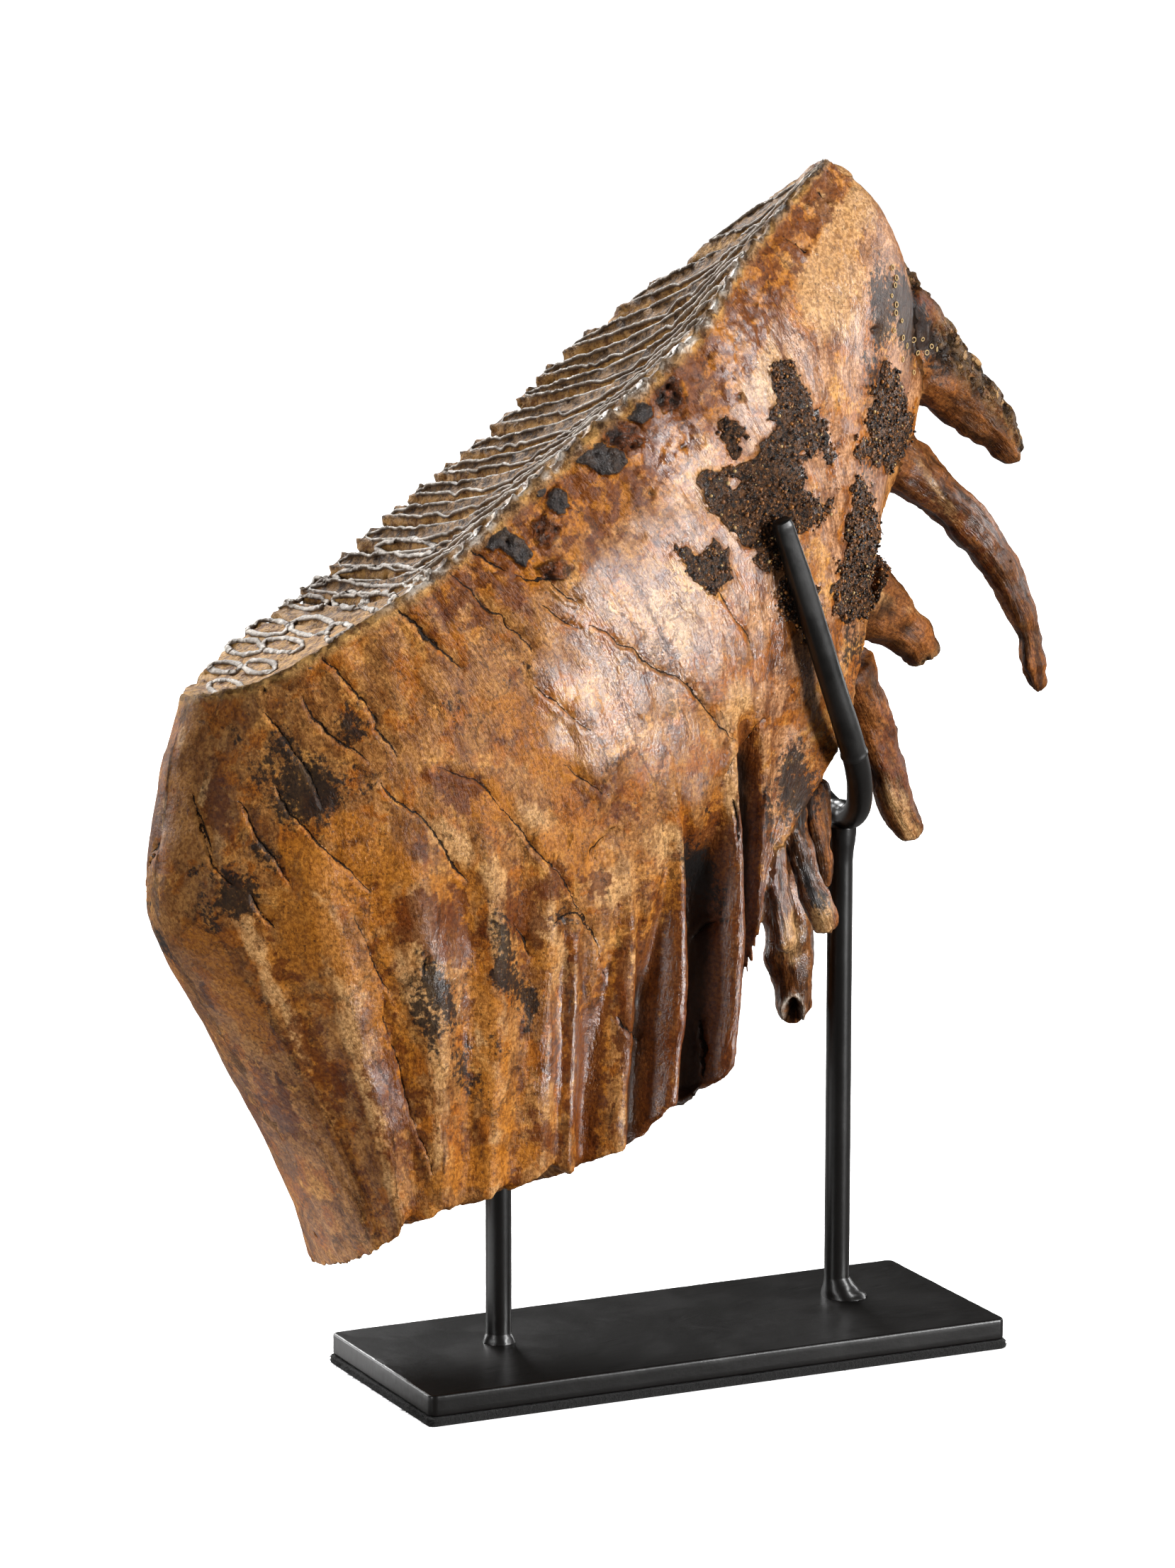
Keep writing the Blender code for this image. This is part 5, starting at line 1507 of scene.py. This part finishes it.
def skin_material():
    """Fossil bone: a matt tan film over glossy amber and brown, stained and cracked by its marks, some of
    which paint shade into troughs, slots and hollows and highlights onto ridges and the near rim.
    """
    material, tree, shader = new_material("fossil", Coat_Roughness=0.08, Coat_IOR=1.5, IOR=1.5,
                                          Specular_IOR_Level=0.12)
    here = position(tree)
    grain = attribute(tree, "grain", True)
    mark = {name: attribute(tree, name) for name in
            ("dark", "rust_and_shade", "amber", "cream_and_sheen", "gloss", "top", "crust", "crack", "crack_near", "hollow",
             "plate_end", "clot", "cement", "fissure", "spongy", "root", "crevice_shade", "rosy", "strip")}
    on_top = mark["top"]

    # the bone: glossy browns under a matt film, darker on the roots
    cloud = texture(tree, here, 62.0, 6.0, 0.68, 0.5)
    under = ramp(tree, cloud, 0.36, 0.48, DEEP_BROWN, AMBER_BROWN)
    under = ramp(tree, cloud, 0.48, 0.64, under, GOLD)
    fibre = texture(tree, grain, 330.0, 5.0, 0.72)
    film = ramp(tree, fibre, 0.36, 0.66, FILM_DARK, FILM_PALE)
    blush = ramp(tree, fibre, 0.36, 0.66, BLUSH_DARK, BLUSH_PALE)
    film = blend(tree, mark["rosy"], film, blush)
    film_mask = stain(tree, here, 0.53, 85.0, 1.2, 0.035)
    colour = cover(tree, under, film_mask, 0.85, film)

    root = ramp(tree, texture(tree, grain, 260.0, 5.0, 0.66), 0.38, 0.68, ROOT_DARK, ROOT_PALE)
    colour = cover(tree, colour, span(tree, mark["root"], 0.2, 0.9), 0.9, root)
    # stains, the cream partly painted sheen on the ridges and the rust partly painted shade in the troughs,
    # veins and a fine light and dark over all of them
    cream_and_sheen = stain(tree, grain, mark["cream_and_sheen"], 330.0, 1.5, 0.25)
    colour = cover(tree, colour, cream_and_sheen, 0.7, CREAM_AND_SHEEN)
    amber = stain(tree, here, mark["amber"], 190.0, 1.5, 0.22)
    colour = cover(tree, colour, amber, 0.8, AMBER)
    rust_and_shade = stain(tree, here, mark["rust_and_shade"], 260.0, 2.5, 0.16)
    colour = cover(tree, colour, rust_and_shade, 0.8, RUST_AND_SHADE)
    veins = mottle(tree, grain, 520.0, 0.56, 0.66, 6.0)
    colour = cover(tree, colour, veins, 0.5, DEEP_BROWN)
    fine = mottle(tree, here, 900.0, 0.38, 0.62)
    shade = blend(tree, fine, SHADE_LOW, SHADE_HIGH)
    colour = blend(tree, 1.0, colour, shade, "MULTIPLY")

    # the grinding surface
    mealy = texture(tree, here, 300.0, 5.0, 0.74)
    cement = ramp(tree, mealy, 0.36, 0.6, CEMENT_DARK, CEMENT)
    dentine = ramp(tree, mealy, 0.38, 0.62, DENTINE_DARK, DENTINE)
    grinding = blend(tree, mark["cement"], dentine, cement)
    grinding = cover(tree, grinding, mark["fissure"], 0.9, CRACK_AND_SHADE)
    colour = blend(tree, on_top, colour, grinding)

    # broken plate ends, a chalky rim that is partly painted highlight, painted shade in deep folds, clots,
    # spongy bone, black stains that are partly painted shade, crust, and painted shade in sunk places
    ends = stain(tree, here, mark["plate_end"], 330.0, 1.3, 0.12)
    colour = cover(tree, colour, ends, 0.9, ENAMEL_DARK)
    # pale strip along the near rim: pale enamel, partly painted highlight
    chalk_and_highlight = ramp(tree, mealy, 0.40, 0.60, DIM_CHALK_AND_HIGHLIGHT, CHALK_AND_HIGHLIGHT)
    colour = blend(tree, mark["strip"], colour, chalk_and_highlight)
    # painted shade in the deepest fold troughs
    colour = cover(tree, colour, mark["crevice_shade"], 0.96, CREVICE_SHADE)
    clot = ramp(tree, mealy, 0.42, 0.66, CLOT_DARK, CLOT)
    colour = cover(tree, colour, mark["clot"], 0.9, clot)
    spongy = ramp(tree, mealy, 0.38, 0.62, SPONGY_DARK, SPONGY)
    colour = cover(tree, colour, mark["spongy"], 0.8, spongy)
    # dark stains, partly painted shade in slots and gaps
    dark = stain(tree, here, times(tree, mark["dark"], 0.72), 620.0, 2.2, 0.2)
    colour = cover(tree, colour, dark, 0.9, BLUE_BLACK)
    specks = effect(tree, "specks", "Mask", {"Vector": here, "Scale": 850.0, "Cover": 0.22})
    colour = cover(tree, colour, specks, 0.5, BLUE_BLACK)
    crust = span(tree, mark["crust"], 0.35, 0.6)
    sand = ramp(tree, texture(tree, here, 800.0, 4.0, 0.7), 0.40, 0.66, CRUST_DARK, CRUST)
    colour = blend(tree, crust, colour, sand)
    pores = span(tree, texture(tree, here, 420.0, 4.0, 0.6), 0.42, 0.55)
    pitted = times(tree, pores, mark["spongy"])
    colour = cover(tree, colour, pitted, 0.8, UMBER)
    # painted shade in sunk places and in the open canal
    colour = cover(tree, colour, mark["hollow"], 0.85, CRACK_AND_SHADE)

    # cracks: the drawn ones, a web of hairlines along the grain, and fine crazing
    jag = minus(tree, texture(tree, here, 380.0, 4.0, 0.76), 0.5)
    off_line = math(tree, "ABSOLUTE", plus(tree, mark["crack"], times(tree, jag, 3.4)))
    line = times(tree, span(tree, off_line, 0.5, 0.24), span(tree, mark["crack_near"], 0.15, 0.5))
    web = add(tree, "ShaderNodeTexVoronoi", {"Vector": grain, "Scale": 95.0}, feature="DISTANCE_TO_EDGE")
    hair = plus(tree, web.outputs["Distance"], times(tree, jag, 0.16))
    patchy = span(tree, texture(tree, here, 45.0, 3.0), 0.44, 0.54)
    hair = times(tree, span(tree, math(tree, "ABSOLUTE", hair), 0.016, 0.005), patchy)
    hair = times(tree, hair, minus(tree, 1.0, most(tree, on_top, mark["rosy"])))
    craze = add(tree, "ShaderNodeTexVoronoi", {"Vector": here, "Scale": 300.0}, feature="DISTANCE_TO_EDGE")
    craze = plus(tree, craze.outputs["Distance"], times(tree, jag, 0.22))
    craze = span(tree, math(tree, "ABSOLUTE", craze), 0.030, 0.008)
    craze = times(tree, craze, span(tree, texture(tree, here, 70.0, 3.0), 0.47, 0.57))
    craze = times(tree, craze, minus(tree, 1.0, on_top))
    fine_cracks = most(tree, times(tree, hair, 0.55), times(tree, craze, 0.45))
    open_crack = most(tree, line, fine_cracks)
    colour = cover(tree, colour, open_crack, 0.95, CRACK_AND_SHADE)
    tree.links.new(colour, shader.inputs["Base Color"])

    # gloss: a coat where the bone is polished, none where it is worn, spongy or open
    worn_face = minus(tree, on_top, mark["strip"])
    dull = most(tree, most(tree, worn_face, mark["spongy"]), mark["crevice_shade"])
    dull = times(tree, most(tree, dull, times(tree, dark, 0.6)), 0.8)
    bare = minus(tree, 1.0, most(tree, dull, open_crack))
    crumbly = most(tree, mark["clot"], mark["plate_end"])
    gloss = stain(tree, here, mark["gloss"], 110.0, 1.2, 0.35)
    gloss = most(tree, gloss, times(tree, mark["rosy"], 0.35))
    gloss = most(tree, gloss, times(tree, most(tree, crust, crumbly), 0.2))
    gloss = most(tree, gloss, mark["strip"])
    gloss = times(tree, plus(tree, times(tree, gloss, 0.92), 0.08), bare)
    rough = plus(tree, span(tree, cloud, 0.3, 0.7, 0.40, 0.60), times(tree, gloss, -0.12))
    tree.links.new(rough, shader.inputs["Roughness"])
    tree.links.new(gloss, shader.inputs["Coat Weight"])

    # bumps, in metres; the coat follows them less and leans with its shingles
    fibrous = roughened(tree, grain, 520.0, 0.0007, 0.30)
    grainy = roughened(tree, here, 900.0, 0.00020, 0.45)
    height = plus(tree, fibrous, grainy)
    facet = add(tree, "ShaderNodeTexVoronoi", {"Vector": here, "Scale": 330.0})
    facets = times(tree, facet.outputs["Distance"], crumbly)
    height = plus(tree, height, times(tree, facets, 0.0012))
    grit = times(tree, texture(tree, here, 1100.0, 3.0, 0.7), 0.0016)
    coarse = most(tree, most(tree, crust, times(tree, crumbly, 0.5)), times(tree, worn_face, 0.6))
    height = plus(tree, height, times(tree, grit, coarse))
    height = minus(tree, height, times(tree, line, 0.0007))
    height = minus(tree, height, times(tree, pitted, 0.0010))
    bumped = bump(tree, shader, height)
    plain = add(tree, "ShaderNodeVectorMath", {0: add(tree, "ShaderNodeNewGeometry").outputs["Normal"],
                                               "Scale": 1 - GLOSS_FOLLOWS}, operation="SCALE")
    softer = add(tree, "ShaderNodeVectorMath", {0: bumped, 1: (GLOSS_FOLLOWS,) * 3, 2: plain.outputs[0]},
                 operation="MULTIPLY_ADD")
    leaning = add(tree, "ShaderNodeVectorMath", {0: softer.outputs[0], 1: GLOSS_LEAN}, operation="SUBTRACT")
    level = add(tree, "ShaderNodeVectorMath", {0: leaning.outputs[0]}, operation="NORMALIZE")
    tree.links.new(level.outputs[0], shader.inputs["Coat Normal"])
    return material


def enamel_material():
    """Worn enamel: grey-brown, its crests painted lighter as a painted highlight and its flanks darker as
    painted shade, paler towards the near rim partly as a painted highlight, striped finely across its run.
    """
    material, tree, shader = new_material("enamel", IOR=1.5, Coat_Weight=0.3, Coat_Roughness=0.18)
    here = position(tree)
    pale = attribute(tree, "pale")
    broad = mottle(tree, here, 90.0, 0.38, 0.6)
    shaded_flank = blend(tree, broad, SHADED_FLANK_DARK, SHADED_FLANK)
    light = blend(tree, broad, LIT_CREST_DARK, LIT_CREST)
    # painted light: tops of the bands lighter, flanks darker, and paler towards the near rim
    lit = plus(tree, times(tree, attribute(tree, "crest_light"), 0.75), times(tree, pale, 0.45))
    colour = blend(tree, math(tree, "MINIMUM", lit, 1.0), shaded_flank, light)
    fine = mottle(tree, here, 520.0, 0.46, 0.64)
    colour = cover(tree, colour, fine, 0.55, ENAMEL_STAIN)
    tree.links.new(colour, shader.inputs["Base Color"])
    tree.links.new(span(tree, broad, 0.0, 1.0, 0.50, 0.34), shader.inputs["Roughness"])
    along = add(tree, "ShaderNodeCombineXYZ", {"X": attribute(tree, "stride")}).outputs[0]
    stripes = times(tree, texture(tree, along, 1500.0, 2.0, 0.6), 0.0009)
    rough = roughened(tree, here, 1500.0, 0.0003, 0.5)
    bump(tree, shader, plus(tree, stripes, rough))
    return material


def grain_material():
    """Sand grains: umber, some orange and a few pale yellow."""
    material, tree, shader = new_material("sand", Roughness=0.42)
    tint = attribute(tree, "tint")
    colour = ramp(tree, tint, 0.30, 0.6, SAND_UMBER, SAND_BROWN)
    colour = ramp(tree, tint, 0.74, 0.86, colour, SAND_ORANGE)
    colour = ramp(tree, tint, 0.93, 0.96, colour, SAND_YELLOW)
    tree.links.new(colour, shader.inputs["Base Color"])
    return material


def satin_material(name, index, patches, colours, roughness, bumps):
    """Satin black finish: two tones and two roughnesses in mottled patches, over faint bumps."""
    material, tree, shader = new_material(name, IOR=index)
    here = position(tree)
    patch = mottle(tree, here, *patches)
    tree.links.new(blend(tree, patch, *colours), shader.inputs["Base Color"])
    tree.links.new(span(tree, patch, 0.0, 1.0, *roughness), shader.inputs["Roughness"])
    bump(tree, shader, roughened(tree, here, *bumps))
    return material


def felt_material():
    """Black felt: matt, faintly furry at grazing angles."""
    material, tree, shader = new_material("black_felt", Roughness=0.95, Sheen_Weight=0.08,
                                          Sheen_Roughness=0.5)
    here = position(tree)
    tufts = effect(tree, "roughened", "Mask", {"Vector": here, "Scale": 1100.0})
    colour = blend(tree, tufts, FELT_DARK, FELT_TUFT)
    tree.links.new(colour, shader.inputs["Base Color"])
    bump(tree, shader, roughened(tree, here, 900.0, 0.0009, 0.5))
    return material


# ---- stage: metres and watts ---------------------------------------------------------------
# Each softbox: where it stands, the point it is aimed at, its width and height, its power.
SOFTBOXES = {
    "key": ((1.42, -1.45, 1.00), (0.0, 0.0, 0.2), (0.36, 0.9), 40.0),
    "low": ((1.22, -1.62, 0.27), (0.0, 0.0, 0.25), (0.40, 0.38), 33.0),
    "rim": ((-0.25, 1.50, 1.20), (0.0, 0.0, 0.25), (1.2, 0.6), 47.0),
    "behind": ((-0.95, 1.90, 0.35), (-0.1, 0.0, 0.05), (0.9, 0.5), 12.0),
    "left": ((-1.9, -0.75, 0.55), (0.0, 0.0, 0.2), (0.35, 1.1), 13.0),
    "right": ((1.9, 0.6, 0.5), (0.0, 0.0, 0.2), (0.3, 1.2), 12.0),
}
FLOOR_NEAR, FLOOR_DEEP, FLOOR_WIDE = -4.0, 3.2, 7.0
SWEEP_RADIUS, BACKDROP_TOP = 1.2, 5.0
FLOOR_DROP = 0.0002                  # the floor lies this far under the felt
FLOOR_SEEN, FLOOR_LIT = (0.86, 0.86, 0.86), (0.10, 0.095, 0.09)
GLOW_AT, GLOW_INNER, GLOW_OUTER = (-0.20, 0.05, 0.0), 0.06, 0.12
GLOW_STRENGTH, FLOOR_STRENGTH = 1.8, 0.012
SURROUND = 0.045
VIEW_CLIP = 50.0


def stand_at(item, right, up, back, at):
    """Put a camera or a light at a point, turned to three square directions."""
    matrix = np.eye(4)
    matrix[:3] = np.stack([right, up, back, at], axis=-1)
    item.matrix_world = Matrix(matrix.tolist())
    bpy.context.scene.collection.objects.link(item)


def make_camera():
    """Camera at the fixed viewpoint."""
    data = bpy.data.cameras.new("view")
    data.lens, data.sensor_width, data.clip_end = VIEW_LENS, VIEW_SENSOR, VIEW_CLIP
    camera = bpy.data.objects.new("view", data)
    right, up, back = view_axes()
    stand_at(camera, right, up, back, VIEW_AT * MM)
    bpy.context.scene.camera = camera


def softbox(name, at, look, size, power):
    """A rectangular studio light, aimed at a point."""
    data = bpy.data.lights.new(name, "AREA")
    data.shape, data.size, data.size_y, data.energy = "RECTANGLE", *size, power
    lamp = bpy.data.objects.new(name, data)
    back = np.array(at, float) - np.array(look, float)
    back /= np.linalg.norm(back)
    right = np.cross((0, 0, 1), back)
    right /= np.linalg.norm(right)
    stand_at(lamp, right, np.cross(back, right), back, at)


def make_stage():
    """Pale floor swept up into a backdrop, soft boxes and a pale surround."""
    turn = np.linspace(0, np.pi / 2, 24)
    back = FLOOR_DEEP + SWEEP_RADIUS
    run = np.concatenate([[FLOOR_NEAR], FLOOR_DEEP + SWEEP_RADIUS * np.sin(turn), [back]])
    rise = np.concatenate([[0.0], SWEEP_RADIUS * (1 - np.cos(turn)), [BACKDROP_TOP]])
    across = np.linspace(-FLOOR_WIDE, FLOOR_WIDE, 3)
    ahead = np.array((np.sin(-VIEW_TURN), np.cos(VIEW_TURN), 0.0))
    sideways = np.array((np.cos(VIEW_TURN), np.sin(VIEW_TURN), 0.0))
    points = (run[:, None, None] * ahead + across[None, :, None] * sideways
              + rise[:, None, None] * np.array((0, 0, 1)) - np.array((0, 0, FLOOR_DROP)))
    index = np.arange(points[..., 0].size).reshape(points.shape[:2])
    quads = np.stack([index[:-1, :-1], index[:-1, 1:], index[1:, 1:], index[1:, :-1]], -1).reshape(-1, 4)
    floor = new_mesh("floor", points / MM, quads)
    floor.data.shade_smooth()
    material, tree, shader = new_material("pale_floor", Roughness=0.7)
    shader.inputs["Emission Color"].default_value = (1.0, 1.0, 1.0, 1.0)
    seen = add(tree, "ShaderNodeLightPath").outputs["Is Camera Ray"]
    tree.links.new(blend(tree, seen, FLOOR_LIT, FLOOR_SEEN), shader.inputs["Base Color"])
    where = position(tree)
    reach = add(tree, "ShaderNodeVectorMath", {0: where, 1: GLOW_AT}, operation="DISTANCE")
    beside = span(tree, reach.outputs["Value"], GLOW_OUTER, GLOW_INNER, FLOOR_STRENGTH, GLOW_STRENGTH)
    tree.links.new(most(tree, seen, beside), shader.inputs["Emission Strength"])
    floor.data.materials.append(material)
    for name, light in SOFTBOXES.items():
        softbox(name, *light)
    world = bpy.data.worlds.new("surround")
    world.use_nodes = True
    around = world.node_tree
    around.nodes["Background"].inputs["Color"].default_value = (1.0, 1.0, 1.0, 1.0)
    seen = add(around, "ShaderNodeLightPath").outputs["Is Camera Ray"]
    around.links.new(most(around, seen, SURROUND), around.nodes["Background"].inputs["Strength"])
    bpy.context.scene.world = world
    bpy.context.scene.view_settings.view_transform = "Standard"


def finish_piece(item, material, slot, *nodes):
    """Dress a piece, let it ride with the stand and stand for its nodes."""
    item.data.materials.clear()
    item.data.materials.append(material)
    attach(item, "root")
    if nodes:
        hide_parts(*nodes)


def main():
    """Build the looks round the frame."""
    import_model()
    GROUPS.update(make_groups())
    make_camera()
    make_stage()
    skin = make_skin()
    finish_piece(skin, skin_material(), "fossil", "tooth")
    finish_piece(enamel_loops(), enamel_material(), "fossil")
    sand = grain_material()
    finish_piece(crust_grains(skin), sand, "fossil")
    finish_piece(ring_marks(skin), sand, "fossil")
    paint, rubber = satin_material(*PAINT_FINISH), satin_material(*SLEEVE_FINISH)
    felt = felt_material()
    plate = slab("base_plate_look", PLATE_HALVES, PLATE_CORNER, PLATE_LAYERS, PLATE_ROUGH, 61)
    finish_piece(plate, paint, "stand_paint", "base_plate")
    pad = slab("felt_pad_look", FELT_HALVES, PLATE_CORNER, FELT_LAYERS, FELT_ROUGH, 64)
    finish_piece(pad, felt, "felt", "felt_pad")
    finish_piece(felt_fibres(), felt, "felt")
    front, rear = make_posts()
    finish_piece(front, paint, "stand_paint", "front_post")
    finish_piece(rear, paint, "stand_paint", "rear_post")
    bar, near, far = make_cradle()
    finish_piece(bar, paint, "stand_paint", "cradle_rod")
    finish_piece(near, rubber, "sleeve", "near_sleeve")
    finish_piece(far, rubber, "sleeve", "far_sleeve")


main()
